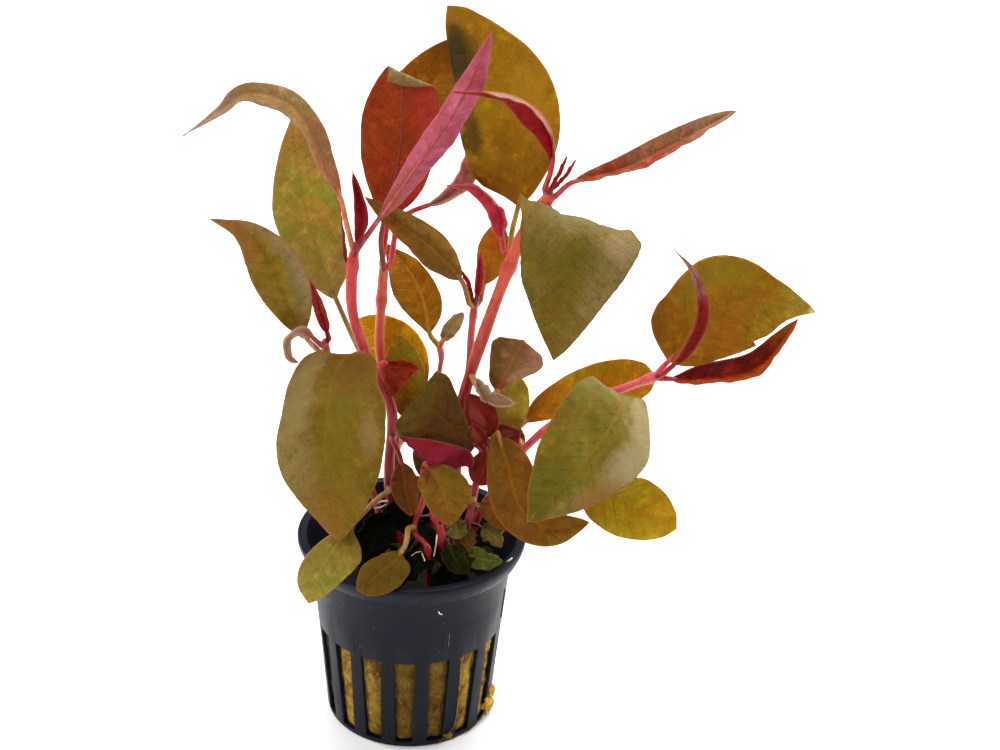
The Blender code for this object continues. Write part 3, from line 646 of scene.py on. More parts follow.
def leaf_skin(name, face, foot=None, tip=None, rib=None, edge=None, blotch=None, left=None,
              right=None, vein=None, veining=0.3, spacing=VEIN_STEP, gloss=0.4, light=(1, 1, 1),
              shine=0.13, see_through=0.22, tints=(0.5, 0.4), patches=()):
    """The skin of one side of a blade, from colours as the eye sees them.

    foot and tip tint its ends, left and right its halves, and on some blades these are painted
    sheen; blotch shows in soft patches. light brightens red, green and blue for each blade, partly
    to paint in how brightly the blade is lit where it stands. patches are soft spots, of the
    blade's own colour or of painted sheen and painted shadow: place and half length along the
    blade, place and half width across it, strength and colour. Flecks of the fine grain are
    darkened, and the crinkle is darkened in its hollows and lightened on its crests: painted shade
    and highlight.
    """
    material, tree, shader = new_finish(name)
    where = place_in(tree)

    def dye(colour, strength=1.0):
        """The colour without the haze that the gloss will lay over it."""
        levels = [level * gain * strength for level, gain in zip(tone(*colour), light)]
        return (*(min(max(level * 1.04 - 0.008, 0.0006), 1.0) for level in levels), 1.0)

    def measure(attribute):
        made = node(tree, "Attribute", attribute_name=attribute, attribute_type="GEOMETRY")
        return made.outputs["Fac"]

    run, off, margin, share, side = map(measure, ("run", "off", "margin", "share", "side"))
    patch = cloud(tree, where, 150, 4, 0.6, 0.4)
    fine = cloud(tree, where, 1500, 3, 0.6)
    wobble = times(tree, minus(tree, patch, 0.5), 0.5)
    shifted = plus(tree, share, wobble)
    colour = mix_tones(tree, ramp(tree, patch, 0.38, 0.64, 0.0, 0.55), dye(face),
                       dye(blotch or face, 1.0 if blotch else 0.72))
    green = (face[0] * 0.76, min(face[1] * 1.04, 255), face[2] * 0.8)
    rust = (min(face[0] * 1.14, 255), face[1] * 0.8, face[2] * 0.8)
    slow = cloud(tree, where, 75, 3, 0.6, 0.8)
    slower = cloud(tree, place_in(tree, (0.8, 1.3, 1.1)), 105, 3, 0.55, 0.6)
    colour = mix_tones(tree, ramp(tree, slow, 0.5, 0.66, 0.0, tints[0]), colour, dye(green))
    colour = mix_tones(tree, ramp(tree, slower, 0.5, 0.68, 0.0, tints[1]), colour, dye(rust))
    sway = plus(tree, side, times(tree, wobble, 1.6))
    if left:
        colour = mix_tones(tree, ramp(tree, sway, -0.75, -0.05, 0.85, 0.0), colour, dye(left))
    if right:
        colour = mix_tones(tree, ramp(tree, sway, 0.05, 0.75, 0.0, 0.85), colour, dye(right))
    if foot:
        colour = mix_tones(tree, ramp(tree, shifted, 0.05, 0.4, 0.9, 0.0), colour, dye(foot))
    if tip:
        colour = mix_tones(tree, ramp(tree, shifted, 0.6, 0.98, 0.0, 0.9), colour, dye(tip))
    arch = minus(tree, run, times(tree, off, VEIN_SLANT))
    arch = plus(tree, arch, times(tree, wobble, 2.2))
    phase = math_step(tree, "FRACT", math_step(tree, "DIVIDE", arch, spacing))
    to_vein = math_step(tree, "ABSOLUTE", minus(tree, phase, 0.5))
    line = ramp(tree, to_vein, 0.02, 0.09, 1.0, 0.0)
    line = times(tree, line, ramp(tree, margin, 0.4, 1.6))
    netting = node(tree, "TexVoronoi", {"Vector": where, "Scale": 1150.0},
                   feature="DISTANCE_TO_EDGE")
    net = ramp(tree, netting.outputs["Distance"], 0.02, 0.12, 1.0, 0.0)
    veins = dye(vein or rib or face)
    colour = mix_tones(tree, times(tree, line, veining * 0.7), colour, veins)
    colour = mix_tones(tree, times(tree, net, 0.12), colour, veins)
    # Painted shade and highlight: darker flecks in the fine grain, and the crinkle darker in its
    # hollows and lighter on its crests, where the same noises raise the bump.
    colour = mix_tones(tree, ramp(tree, fine, 0.4, 0.75, 0.0, 0.25), colour, dye(face, 0.55))
    crinkle_and_painted_shade = cloud(tree, where, 420, 6, 0.68, 0.15)
    colour = mix_tones(tree, ramp(tree, crinkle_and_painted_shade, 0.32, 0.52, 0.42, 0.0), colour, dye(face, 0.5))
    colour = mix_tones(tree, ramp(tree, crinkle_and_painted_shade, 0.52, 0.7, 0.0, 0.5), colour, dye(face, 1.75))
    if rib:
        width = ramp(tree, share, 0.0, 1.0, 0.62, 0.16)
        reach = math_step(tree, "DIVIDE", off, width)
        colour = mix_tones(tree, ramp(tree, reach, 0.4, 1.1, 0.5, 0.0), colour, dye(rib))
    if edge:
        uneven = plus(tree, margin, times(tree, wobble, 1.5))
        colour = mix_tones(tree, ramp(tree, uneven, 0.0, 0.5, 0.6, 0.0), colour, dye(edge))
    for along_at, along_half, side_at, side_half, depth, patch_colour in patches:
        along = plus(tree, share, times(tree, wobble, 0.12))
        along = math_step(tree, "DIVIDE", minus(tree, along, along_at), along_half)
        aside = math_step(tree, "DIVIDE", minus(tree, sway, side_at), side_half)
        spread = plus(tree, times(tree, along, along), times(tree, aside, aside))
        spot = ramp(tree, spread, 0.1, 1.4, depth, 0.0)
        colour = mix_tones(tree, spot, colour, dye(patch_colour))
    link(tree, colour, shader, "Base Color")
    link(tree, ramp(tree, patch, 0.3, 0.7, gloss - 0.12, gloss + 0.06), shader, "Roughness")
    shader.inputs["Specular IOR Level"].default_value = shine
    relief = plus(tree, times(tree, line, -0.7), times(tree, net, -0.35))
    relief = plus(tree, relief, times(tree, fine, 0.5))
    relief = plus(tree, relief, times(tree, crinkle_and_painted_shade, 5.0))
    bump = node(tree, "Bump", {"Height": relief, "Strength": 0.7, "Distance": 0.0003})
    link(tree, bump.outputs[0], shader, "Normal")
    if see_through:
        through = node(tree, "BsdfTranslucent", {"Color": colour, "Normal": bump.outputs[0]})
        both = node(tree, "MixShader", {0: see_through, 1: shader.outputs[0],
                                        2: through.outputs[0]})
        out = tree.nodes["Material Output"]
        tree.links.new(both.outputs[0], out.inputs["Surface"])
    return material


def stalk_finish(name, colour, far=None):
    """The skin of a leaf stalk and its midrib, streaked along its length."""
    material, tree, shader = new_finish(name)
    streak = cloud(tree, place_in(tree, (1, 1, 0.4)), 800, 3)
    fine = cloud(tree, place_in(tree), 2400, 2)
    near, away = tone(*colour), tone(*(far or colour), 0.7)
    shade = mix_tones(tree, ramp(tree, streak, 0.35, 0.65), near, away)
    shade = mix_tones(tree, ramp(tree, fine, 0.45, 0.75, 0.0, 0.35), shade, tone(*colour, 1.5))
    link(tree, shade, shader, "Base Color")
    shader.inputs["Roughness"].default_value = 0.4
    shader.inputs["Specular IOR Level"].default_value = 0.36
    bump = node(tree, "Bump", {"Height": fine, "Strength": 0.2, "Distance": 0.0001})
    link(tree, bump.outputs[0], shader, "Normal")
    return material


def blade_width(t, form):
    """Share of the full width along the blade, 0 at its foot and at its tip."""
    base, tip = form
    widest = base / (base + tip)
    t = np.clip(t, 0, 1)
    return (t / widest) ** base * ((1 - t) / (1 - widest)) ** tip


def margin_line(t, knots):
    """Half width along the blade, smooth through (share, half width) pairs.

    Plain half widths stand at the usual shares.
    """
    if not isinstance(knots[0], tuple):
        knots = list(zip(USUAL_SHARES, knots))
    spots = np.array([knot[0] for knot in knots], float)
    widths = np.array([knot[1] for knot in knots], float)
    slopes = np.gradient(widths, spots)
    number = np.clip(np.searchsorted(spots, t, side="right") - 1, 0, len(spots) - 2)
    span = spots[number + 1] - spots[number]
    u = np.clip((t - spots[number]) / span, 0, 1)
    low, high = widths[number], widths[number + 1]
    smooth = (low * (2 * u ** 3 - 3 * u ** 2 + 1) + high * (3 * u ** 2 - 2 * u ** 3)
              + slopes[number] * span * (u ** 3 - 2 * u ** 2 + u)
              + slopes[number + 1] * span * (u ** 3 - u ** 2))
    return np.maximum(smooth, 0.05)


def grow_leaf(name, midrib, width, form=(0.7, 0.9), stalk=0.12, faces=(FRONT,), fold=10,
              curl=0, rolls=(0, 0), roll_span=(0.5, 1.0), roll_late=0, lean=1.0, stalk_mm=None,
              skin=None, under=None, stem=None, wave=(0.35, 2.5), quilt=0.1, buckle=1.1,
              left_edge=None, right_edge=None, seed=0, shape=None,
              grid=(BLADE_COLUMNS, BLADE_ROWS)):
    """Make one leaf and hang it where its solid is.

    midrib runs from the stalk's foot to the tip, in millimetres. width is the full width of
    the blade, and left_edge and right_edge, where given, go to margin_line instead. faces are
    the ways its upper side looks, from foot to tip. fold and curl bend its halves up, rolls
    turns the outer part of each over, less and less towards the tip by roll_late.
    """
    path, length = smooth_path(midrib)
    samples = len(path) - 1
    bpy.ops.mesh.primitive_grid_add(x_subdivisions=grid[0] - 1, y_subdivisions=grid[1] - 1,
                                    size=2, location=(0, 0, 0))
    piece = bpy.context.active_object
    piece.name = name + "_blade"
    mesh = piece.data
    mesh.name = piece.name
    flat = np.zeros(len(mesh.vertices) * 3)
    mesh.vertices.foreach_get("co", flat)
    flat = flat.reshape(-1, 3)
    reach = flat[:, 0]
    t = 0.5 - 0.5 * np.cos((flat[:, 1] + 1) / 2 * math.pi)
    share = stalk + (1 - stalk) * t
    place = share * samples
    low = np.minimum(place.astype(int), samples - 1)
    part_way = (place - low)[:, None]
    centre = path[low] * (1 - part_way) + path[low + 1] * part_way
    heading = path[np.minimum(low + 2, samples)] - path[np.maximum(low - 1, 0)]
    heading /= np.linalg.norm(heading, axis=1)[:, None]
    ways = np.array(faces, float)
    spot = share * (len(ways) - 1)
    first = np.minimum(spot.astype(int), max(len(ways) - 2, 0))
    second = np.minimum(first + 1, len(ways) - 1)
    upward = ways[first] * (1 - (spot - first)[:, None]) + ways[second] * (spot - first)[:, None]
    upward -= heading * np.sum(upward * heading, axis=1)[:, None]
    upward /= np.linalg.norm(upward, axis=1)[:, None]
    sideways = np.cross(heading, upward)
    spread = blade_width(t, form)
    ease = np.minimum(spread * 1.5, 1.0)
    half_left = width / 2 * spread
    half_right = width / 2 * spread * (1 + (lean - 1) * ease)
    if left_edge:
        half_left = margin_line(t, left_edge)
    if right_edge:
        half_right = margin_line(t, right_edge)
    half = np.where(reach < 0, half_left, half_right)
    thin_end = 0.28 * (1 - t) + 0.1
    half = np.maximum(half, thin_end)
    roll = np.radians(np.where(reach < 0, rolls[0], rolls[1])) * ease
    sign = np.where(reach < 0, -1.0, 1.0)
    across = np.zeros_like(t)
    up = np.zeros_like(t)
    for number in range(FOLD_STEPS):
        at = (number + 0.5) / FOLD_STEPS * np.abs(reach)
        angle = math.radians(fold) * ease * np.minimum(at / 0.12, 1)
        angle += math.radians(curl) * ease * at
        rolled = (at - roll_span[0] - roll_late * t ** 3) / (roll_span[1] - roll_span[0])
        angle += roll * np.clip(rolled, 0, 1)
        across += np.cos(angle) * np.abs(reach) / FOLD_STEPS * half
        up += np.sin(angle) * np.abs(reach) / FOLD_STEPS * half
    run = t * length * (1 - stalk)
    off = np.abs(reach) * half
    margin = (1 - np.abs(reach)) * half
    swing = np.sin(t * wave[1] * 2 * math.pi + seed * 1.7 + (reach > 0) * 1.9)
    swing += 0.5 * np.sin(t * wave[1] * 4.3 * math.pi + seed * 2.9 + (reach > 0) * 0.8)
    lift = wave[0] * swing * np.abs(reach) ** 2.5 * ease
    quilting = np.cos(2 * math.pi * (run - off * VEIN_SLANT) / VEIN_STEP)
    lift += quilt * ease * quilting * np.minimum(off / 2.5, 1)
    lift -= RIB_GROOVE_DEPTH * np.exp(-(off / RIB_GROOVE_WIDTH) ** 2) * ease
    for number in range(len(t)):
        soft = Vector((t[number] * length / 11, reach[number] * half[number] / 8, seed * 3.7))
        lift[number] += buckle * ease[number] * noise.noise(soft) * min(off[number] / 3, 1)
    across -= lift * np.sin(angle)
    up += lift * np.cos(angle)
    placed = centre + sideways * (across * sign)[:, None] + upward * up[:, None]
    if shape:
        placed = shape(placed, t, reach)
    mesh.vertices.foreach_set("co", (placed * MM).ravel())
    measures = {"run": run, "off": off, "margin": margin, "share": t, "side": reach}
    for label, values in measures.items():
        held = mesh.attributes.new(label, "FLOAT", "POINT")
        held.data.foreach_set("value", values.astype(np.float32))
    for material in (skin, under, stem):
        mesh.materials.append(material)
    body = piece.modifiers.new("thickness", "SOLIDIFY")
    body.thickness = BLADE_THICKNESS * MM
    body.offset = 0
    body.material_offset = 1
    body.material_offset_rim = 0
    bpy.ops.object.modifier_apply(modifier=body.name)
    mesh.shade_smooth()
    radius = (stalk_mm or 2 * STALK_RADIUS) / 2
    lines = np.array(stem_lines)
    gaps = np.linalg.norm(lines - path[0], axis=1)
    rib_run = []
    if gaps.min() < FAR_FROM_STEM:
        holder = lines[gaps.argmin()]
        for share_in, girth in ((0, 1.25), (0.5, 1.3)):
            rib_run.append((holder + (path[0] - holder) * share_in, radius * girth))
    for number in range(0, samples + 1, 2):
        along = number / samples
        on_blade = max((along - stalk) / (1 - stalk), 0)
        if on_blade > RIB_END:
            break
        heading_here = path[min(number + 1, samples)] - path[max(number - 1, 0)]
        heading_here /= np.linalg.norm(heading_here)
        place_here = along * (len(ways) - 1)
        at = min(int(place_here), max(len(ways) - 2, 0))
        part = place_here - at
        way = ways[at] * (1 - part) + ways[min(at + 1, len(ways) - 1)] * part
        way = way - heading_here * (way @ heading_here)
        way /= np.linalg.norm(way)
        girth = radius * (1.15 - 0.15 * min(along / max(stalk, 0.01), 1))
        if on_blade > 0:
            slimmer = 1 - 0.45 * min(on_blade / 0.15, 1)
            spare = radius - RIB_END_RADIUS
            girth = RIB_END_RADIUS + spare * (1 - on_blade) ** 1.6 * slimmer
        drop = (girth * 0.8 + 0.16) * min(on_blade / 0.08, 1)
        rib_run.append((path[number] - way * drop, girth))
    rib = draw_tubes(name + "_rib", [rib_run], sides=3)
    bpy.ops.object.select_all(action="DESELECT")
    for material in (skin, under, stem):
        rib.data.materials.append(material)
    rib.data.polygons.foreach_set("material_index", [2] * len(rib.data.polygons))
    rib.select_set(True)
    piece.select_set(True)
    bpy.context.view_layer.objects.active = piece
    bpy.ops.object.join()
    settle(piece)
    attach(piece, "root")
    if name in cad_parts:
        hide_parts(name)


# The leaves of the left stem: an arching one whose tip hangs like a tail, a tall olive one, the
# long pink one that shows its underside, and the biggest of all, which hangs over the pot. Their
# soft blades are olive above and crimson or pink below, on pink, orange or olive stalks.
under_pink = leaf_skin("under_pink", (186, 96, 106), foot=(184, 104, 76), blotch=(222, 134, 146),
                       rib=(176, 76, 70), edge=(206, 120, 118), veining=0.35, spacing=4.5)
under_crimson = leaf_skin("under_crimson", (150, 24, 26), blotch=(176, 58, 60), rib=(180, 60, 60),
                          edge=(170, 80, 70), veining=0.2)
stalk_orange = stalk_finish("stalk_orange", (196, 120, 70), (190, 84, 50))
stalk_olive = stalk_finish("stalk_olive", (146, 110, 40), (150, 90, 40))
stalk_crimson = stalk_finish("stalk_crimson", (150, 30, 36), (120, 16, 24))
stalk_pink = stalk_finish("stalk_pink", (168, 72, 66), (150, 60, 50))
stalk_red = stalk_finish("stalk_red", (196, 62, 58), (176, 36, 44))
grow_leaf("leaf_arching",
    [(-14, -2.5, 121.5), (-15.5, -3.5, 128.5), (-17, -4, 135.5), (-20.5, -5, 143.5),
     (-24, -5.5, 151.5), (-28, -6, 156), (-34.5, -7, 158), (-38.5, -7.5, 157), (-41, -8, 154.5),
     (-49.5, -9, 148.5)],
    6.3, (0.8, 1.4), 0.2, ((0.9, -0.4, 0.2), (0.5, -0.6, 0.6), (-0.2, -0.7, 0.7)), 20,
    skin=leaf_skin("arching_top", (158, 118, 62), light=(1.06, 1.13, 1.41), foot=(168, 84, 56),
        tip=(156, 128, 104), blotch=(130, 108, 56), rib=(170, 112, 66), edge=(180, 124, 96)),
    under=under_pink, stem=stalk_orange, seed=1)
grow_leaf("leaf_tall",
    [(-12.5, -1, 96), (-16.5, 3, 102.5), (-20.5, 5, 111.5), (-25.5, 6, 127.5), (-28.5, 6, 148.5)],
    14.5, (0.9, 0.8), 0.24, rolls=(0, 150), roll_span=(0.72, 0.9), roll_late=1.3,
    left_edge=[(0, 0.4), (0.03, 1.6), (0.08, 3.1), (0.15, 4.9), (0.27, 6.5), (0.4, 7.2),
        (0.53, 7.4), (0.66, 6.2), (0.78, 4.5), (0.88, 2.8), (0.95, 1.3), (1, 0.1)],
    right_edge=[(0, 0.4), (0.04, 1.6), (0.1, 4.4), (0.2, 7.4), (0.3, 8.4), (0.42, 8.8), (0.55, 8.6),
        (0.66, 7), (0.78, 5), (0.88, 3.1), (0.95, 1.9), (1, 0.1)],
    skin=leaf_skin("tall_top", (146, 120, 54), light=(1.51, 1.66, 1.32), foot=(136, 114, 66),
        tip=(166, 118, 58), blotch=(166, 134, 50), rib=(122, 106, 50), edge=(168, 124, 84),
        vein=(120, 104, 48)),
    under=under_crimson, stem=stalk_olive, seed=2)
grow_leaf("leaf_young_left",
    [(-13.5, -4, 122.5), (-12, -4.5, 130.5), (-14, -5, 141)],
    3.4, (0.8, 1.1), 0.06, fold=40,
    skin=leaf_skin("young_crimson", (132, 20, 32), light=(1.1, 1.05, 1.1), blotch=(158, 48, 56),
        tip=(136, 30, 36), rib=(104, 12, 20), edge=(150, 54, 58), veining=0.15, gloss=0.34),
    under=under_crimson, stem=stalk_crimson, wave=(0.1, 2), quilt=0.03, seed=3)
grow_leaf("leaf_pink",
    [(-13, -2, 122), (-8, -5, 130.5), (-1.5, -8, 141.5), (5, -10, 152), (10.5, -10, 162),
     (15, -10, 174)],
    8.2, (1.0, 1.0), 0.15, (BACK,), 35,
    left_edge=(0.4, 1.2, 2.3, 3.5, 4, 4.2, 4.1, 3.3, 2, 0.9, 0.1),
    right_edge=(0.4, 0.9, 1.5, 2.5, 2.8, 3, 2.9, 2.2, 1.3, 0.6, 0.1),
    skin=leaf_skin("pink_top", (150, 60, 50), rib=(150, 40, 40), edge=(180, 90, 80)),
    under=leaf_skin("pink_under", (194, 88, 106), light=(0.87, 0.8, 0.81), foot=(184, 112, 78),
        blotch=(234, 132, 160), rib=(160, 70, 56), edge=(212, 116, 130), vein=(168, 88, 74),
        veining=0.5, spacing=5.0, tints=(0.0, 0.3)),
    stem=stalk_pink, wave=(0.25, 3.5), seed=4)
grow_leaf("leaf_big",
    [(-12, -6, 98), (-14.5, -12, 100), (-17.5, -17, 95.5), (-18.5, -21, 83.5), (-17.5, -23, 73),
     (-15, -25, 60)],
    25.5, (0.55, 0.75), 0.05, ((-0.35, -0.4, 0.85), (-0.1, -0.95, 0.3), (0, -1, 0.1)), 8, lean=0.88,
    left_edge=[(0, 0.5), (0.03, 2.5), (0.07, 6.5), (0.15, 10.5), (0.27, 13.5), (0.4, 14.3),
        (0.53, 13.5), (0.66, 12.2), (0.78, 9.5), (0.88, 6.2), (0.95, 3), (1, 0.1)],
    right_edge=[(0, 0.5), (0.05, 2.5), (0.15, 7), (0.27, 9.3), (0.4, 9.9), (0.53, 10.8),
        (0.66, 9.8), (0.78, 6.8), (0.88, 4), (0.95, 2), (1, 0.1)],
    # The pale right half and the first and last patches of big_top are painted sheen.
    skin=leaf_skin("big_top", (122, 94, 12), light=(1.05, 1.04, 1.0), foot=(112, 78, 6),
        tip=(126, 102, 28), blotch=(134, 108, 34), right=(152, 132, 78), rib=(140, 106, 34),
        edge=(152, 100, 60), vein=(146, 110, 40), veining=0.4, spacing=4.0,
        patches=((0.3, 0.2, 0.66, 0.3, 0.35, (168, 150, 100)),
            (0.16, 0.14, -0.3, 0.5, 0.5, (112, 74, 6)),
            (0.5, 0.25, -0.2, 0.35, 0.4, (118, 108, 12)),
            (0.86, 0.16, 0.3, 0.8, 0.4, (146, 92, 34)),
            (0.45, 0.14, -0.75, 0.2, 0.4, (158, 128, 84)))),
    under=under_crimson, stem=stalk_pink, wave=(0.6, 2.2), quilt=0.2, seed=5)
grow_leaf("leaf_triangle", [(-7.4, -1.7, 94), (-4.5, -1, 92.8), (1, 0, 92)],
    8.5, (0.6, 0.9), 0.1,
    left_edge=[(0, 0.5), (0.1, 1.2), (0.3, 1.6), (0.5, 1.8), (0.8, 1.3), (1, 0.1)],
    right_edge=[(0, 0.5), (0.08, 3.6), (0.17, 6.6), (0.26, 7.2), (0.4, 5.8), (0.6, 3.6), (0.8, 1.7),
        (0.92, 0.7), (1, 0.1)],
    skin=leaf_skin("triangle_top", (128, 38, 12), light=(1.3, 1.35, 0.71), blotch=(150, 50, 30),
        rib=(160, 60, 40), edge=(150, 60, 40), vein=(100, 20, 10)),
    under=under_crimson, stem=stalk_red, seed=6)

# The leaves of the side stem behind the biggest one: a broad olive one that leans left, a young
# folded one and a pale, thin one that is bent into a loop. They spring from one joint.
under_pale = leaf_skin("under_pale", (178, 142, 116), foot=(170, 60, 46), blotch=(190, 150, 130),
                       rib=(170, 90, 80), edge=(196, 160, 140), veining=0.25)
stalk_cream = stalk_finish("stalk_cream", (206, 180, 130), (196, 120, 80))
grow_leaf("leaf_left",
    [(-20.5, -4, 96), (-25, -7, 103), (-28, -10, 112), (-31.5, -12, 123), (-36.5, -13, 129.5),
     (-43.5, -14, 132)],
    12.5, (0.7, 1.3), 0.15, ((-0.1, -0.8, 0.5),), 15,
    left_edge=(0.4, 1.4, 2.4, 3.9, 5.2, 5.6, 4.8, 3.2, 1.8, 0.8, 0.1),
    right_edge=(0.4, 1.6, 3.5, 5.5, 6.8, 6.7, 5, 2.6, 1, 0.5, 0.1),
    # The pale right half of left_top is painted sheen.
    skin=leaf_skin("left_top", (130, 110, 26), light=(1.07, 0.99, 0.87), foot=(136, 112, 40),
        tip=(156, 106, 60), blotch=(144, 118, 60), right=(150, 130, 96), rib=(120, 96, 40),
        edge=(160, 112, 70), vein=(110, 92, 30),
        patches=((0.4, 0.2, 0.5, 0.3, 0.4, (104, 104, 60)),
            (0.75, 0.2, -0.4, 0.5, 0.4, (150, 96, 44)))),
    under=under_crimson, stem=stalk_cream, seed=7)
grow_leaf("leaf_young_side",
    [(-19.6, -2.2, 99.8), (-21, -4, 106.5), (-23.5, -5, 115)],
    3.6, (0.8, 1.1), 0.1, fold=40,
    skin=leaf_skin("young_brick", (184, 76, 62), light=(1.25, 1.15, 1.05), foot=(160, 36, 40),
        tip=(158, 52, 48), blotch=(196, 100, 84), rib=(146, 30, 34), edge=(150, 44, 44),
        veining=0.15, gloss=0.34),
    under=under_crimson, stem=stalk_crimson, wave=(0.1, 2), quilt=0.03, seed=8)
grow_leaf("leaf_loop",
    [(-21, -5.6, 99.6), (-24.3, -12, 105.8), (-27.5, -13, 104), (-27.5, -12, 99.5),
     (-25.5, -11, 97.5)],
    2.6, (0.6, 0.6), 0.2, ((0, -0.6, -0.8), (1, -0.4, 0), (0, -0.6, 0.8)), skin=under_pale,
    under=under_pale, stem=stalk_pink, wave=(0.1, 2), quilt=0.03, seed=9)

# The leaves of the back stem and of the thin one: an orange leaf that shows its glossy
# underside, a brown one behind it, a narrow pale one, and yellow ones low at the back.
under_orange = leaf_skin("under_orange", (150, 58, 4), light=(1.13, 1.02, 0.63), foot=(166, 56, 50),
                         tip=(150, 60, 10), blotch=(166, 74, 12), left=(190, 62, 66),
                         rib=(133, 38, 16), edge=(150, 60, 40), vein=(120, 36, 12), veining=0.35,
                         spacing=3.8, gloss=0.32)
under_olive = leaf_skin("under_olive", (140, 112, 60), blotch=(160, 110, 80), rib=(170, 110, 80),
                        edge=(150, 110, 70), veining=0.3)
stalk_rust = stalk_finish("stalk_rust", (140, 44, 20), (120, 32, 12))
stalk_yellow = stalk_finish("stalk_yellow", (160, 128, 40), (150, 100, 30))
TURN_LOW = np.array((-7.7, 162.0))
TURN_WAY = np.array((0.42, 0.91))


def fold_tip_forward(spots, t, reach):
    """Turn over the part of the blade beyond a slanting line, towards the front."""
    beyond = (spots[:, [0, 2]] - TURN_LOW) @ TURN_WAY
    bend = 0.7
    round_part = np.clip(beyond, 0, math.pi * bend)
    flat_part = np.maximum(beyond - math.pi * bend, 0)
    moved = bend * np.sin(round_part / bend) - flat_part
    turned = beyond > 0
    shift = np.where(turned, moved - beyond, 0)
    spots = spots.copy()
    spots[:, 0] += shift * TURN_WAY[0]
    spots[:, 2] += shift * TURN_WAY[1]
    spots[:, 1] -= np.where(turned, bend * (1 - np.cos(round_part / bend)) + flat_part * 0.1, 0)
    return spots


grow_leaf("leaf_red",
    [(-8, 5.5, 115.5), (-8.5, 5, 121.5), (-7.5, 5, 127.5), (-5, 4, 139.5), (-4, 3, 150.5),
     (-4.5, 2, 165)],
    18.5, (0.8, 0.35), 0.2, (BACK,), 10, buckle=0.8, shape=fold_tip_forward,
    left_edge=(0.5, 2.6, 5.2, 7.2, 7.8, 8.4, 8.3, 7.6, 5.6, 3, 0.1),
    right_edge=(0.5, 2.2, 4.2, 6.8, 8.4, 9, 8.6, 7, 4.6, 2.2, 0.1),
    skin=leaf_skin("red_top", (146, 122, 76), rib=(150, 110, 60), edge=(150, 90, 60)),
    under=under_orange, stem=stalk_rust, wave=(0.3, 2.4), seed=10)
grow_leaf("leaf_brown",
    [(-8.6, 9, 114), (-7.5, 12, 123), (-5.5, 14, 137.5), (0, 15, 152.5), (10.5, 16, 166.5)],
    15.0, (0.8, 0.8), 0.25,
    skin=leaf_skin("brown_top", (146, 96, 12), light=(1.31, 1.16, 0.98), tip=(110, 80, 10),
        blotch=(160, 108, 18), rib=(150, 90, 20), edge=(160, 100, 50), vein=(124, 78, 10)),
    under=under_crimson, stem=stalk_red, seed=11)
grow_leaf("leaf_pale",
    [(-6.3, 7.4, 115.5), (-5, 9, 124), (-2, 9, 127), (5.5, 9.5, 130.5), (10.5, 11, 136),
     (13, 13, 147)],
    4.5, (0.8, 0.8), 0.42, fold=30,
    skin=leaf_skin("pale_top", (160, 84, 78), light=(1.27, 1.82, 1.65), tip=(190, 140, 110),
        blotch=(190, 120, 104), rib=(150, 60, 60), edge=(200, 140, 120)),
    under=under_pink, stem=stalk_red, seed=12)
grow_leaf("leaf_veined",
    [(4.5, 13, 92.5), (2.5, 13, 95.5), (1, 13, 103.5), (-2.5, 13, 111), (-8, 12, 118)],
    10.5, (0.7, 0.9), 0.12,
    left_edge=(0.4, 1.6, 3.2, 4.9, 5.8, 6, 5.4, 4.1, 2.4, 1, 0.1),
    right_edge=(0.4, 2, 3.2, 4.1, 4.2, 3.8, 3.1, 2.1, 1.1, 0.5, 0.1),
    skin=leaf_skin("veined_top", (146, 98, 12), light=(1.49, 1.52, 1.01), blotch=(156, 106, 22),
        rib=(196, 140, 66), edge=(160, 84, 30), vein=(196, 140, 60), veining=0.6, spacing=3.0),
    under=under_orange, stem=stalk_yellow, seed=13)
grow_leaf("leaf_curl_small", [(5.5, 12, 93.5), (8, 9, 99), (10.5, 8, 103)],
    3.5, (0.5, 0.5), 0.08,
    skin=leaf_skin("curl_small_top", (128, 104, 66), light=(1.45, 1.87, 1.8), blotch=(112, 80, 38),
        rib=(150, 110, 70), edge=(150, 120, 90), see_through=0),
    under=under_olive, stem=stalk_orange, seed=14)
grow_leaf("leaf_yellow",
    [(-3.5, 12, 67), (-3, 13, 77.5), (-5.5, 14, 89), (-14, 14, 98)],
    14.5, (0.8, 0.7), 0.2,
    skin=leaf_skin("yellow_top", (160, 116, 8), light=(2.07, 2.2, 1.8), foot=(130, 80, 6),
        tip=(168, 124, 12), blotch=(170, 126, 20), rib=(150, 90, 20), edge=(170, 110, 30),
        vein=(140, 96, 8)),
    under=under_olive, stem=stalk_orange, seed=15)
grow_leaf("leaf_olive", [(-3, 8, 69), (-2.5, 9, 79.5), (-4.5, 10, 96)],
    10.0, (0.8, 0.8), 0.2,
    skin=leaf_skin("olive_top", (138, 106, 30), light=(1.37, 1.84, 1.13), foot=(120, 70, 20),
        blotch=(144, 116, 40), rib=(150, 90, 40), edge=(150, 80, 40)),
    under=under_crimson, stem=stalk_olive, seed=16)

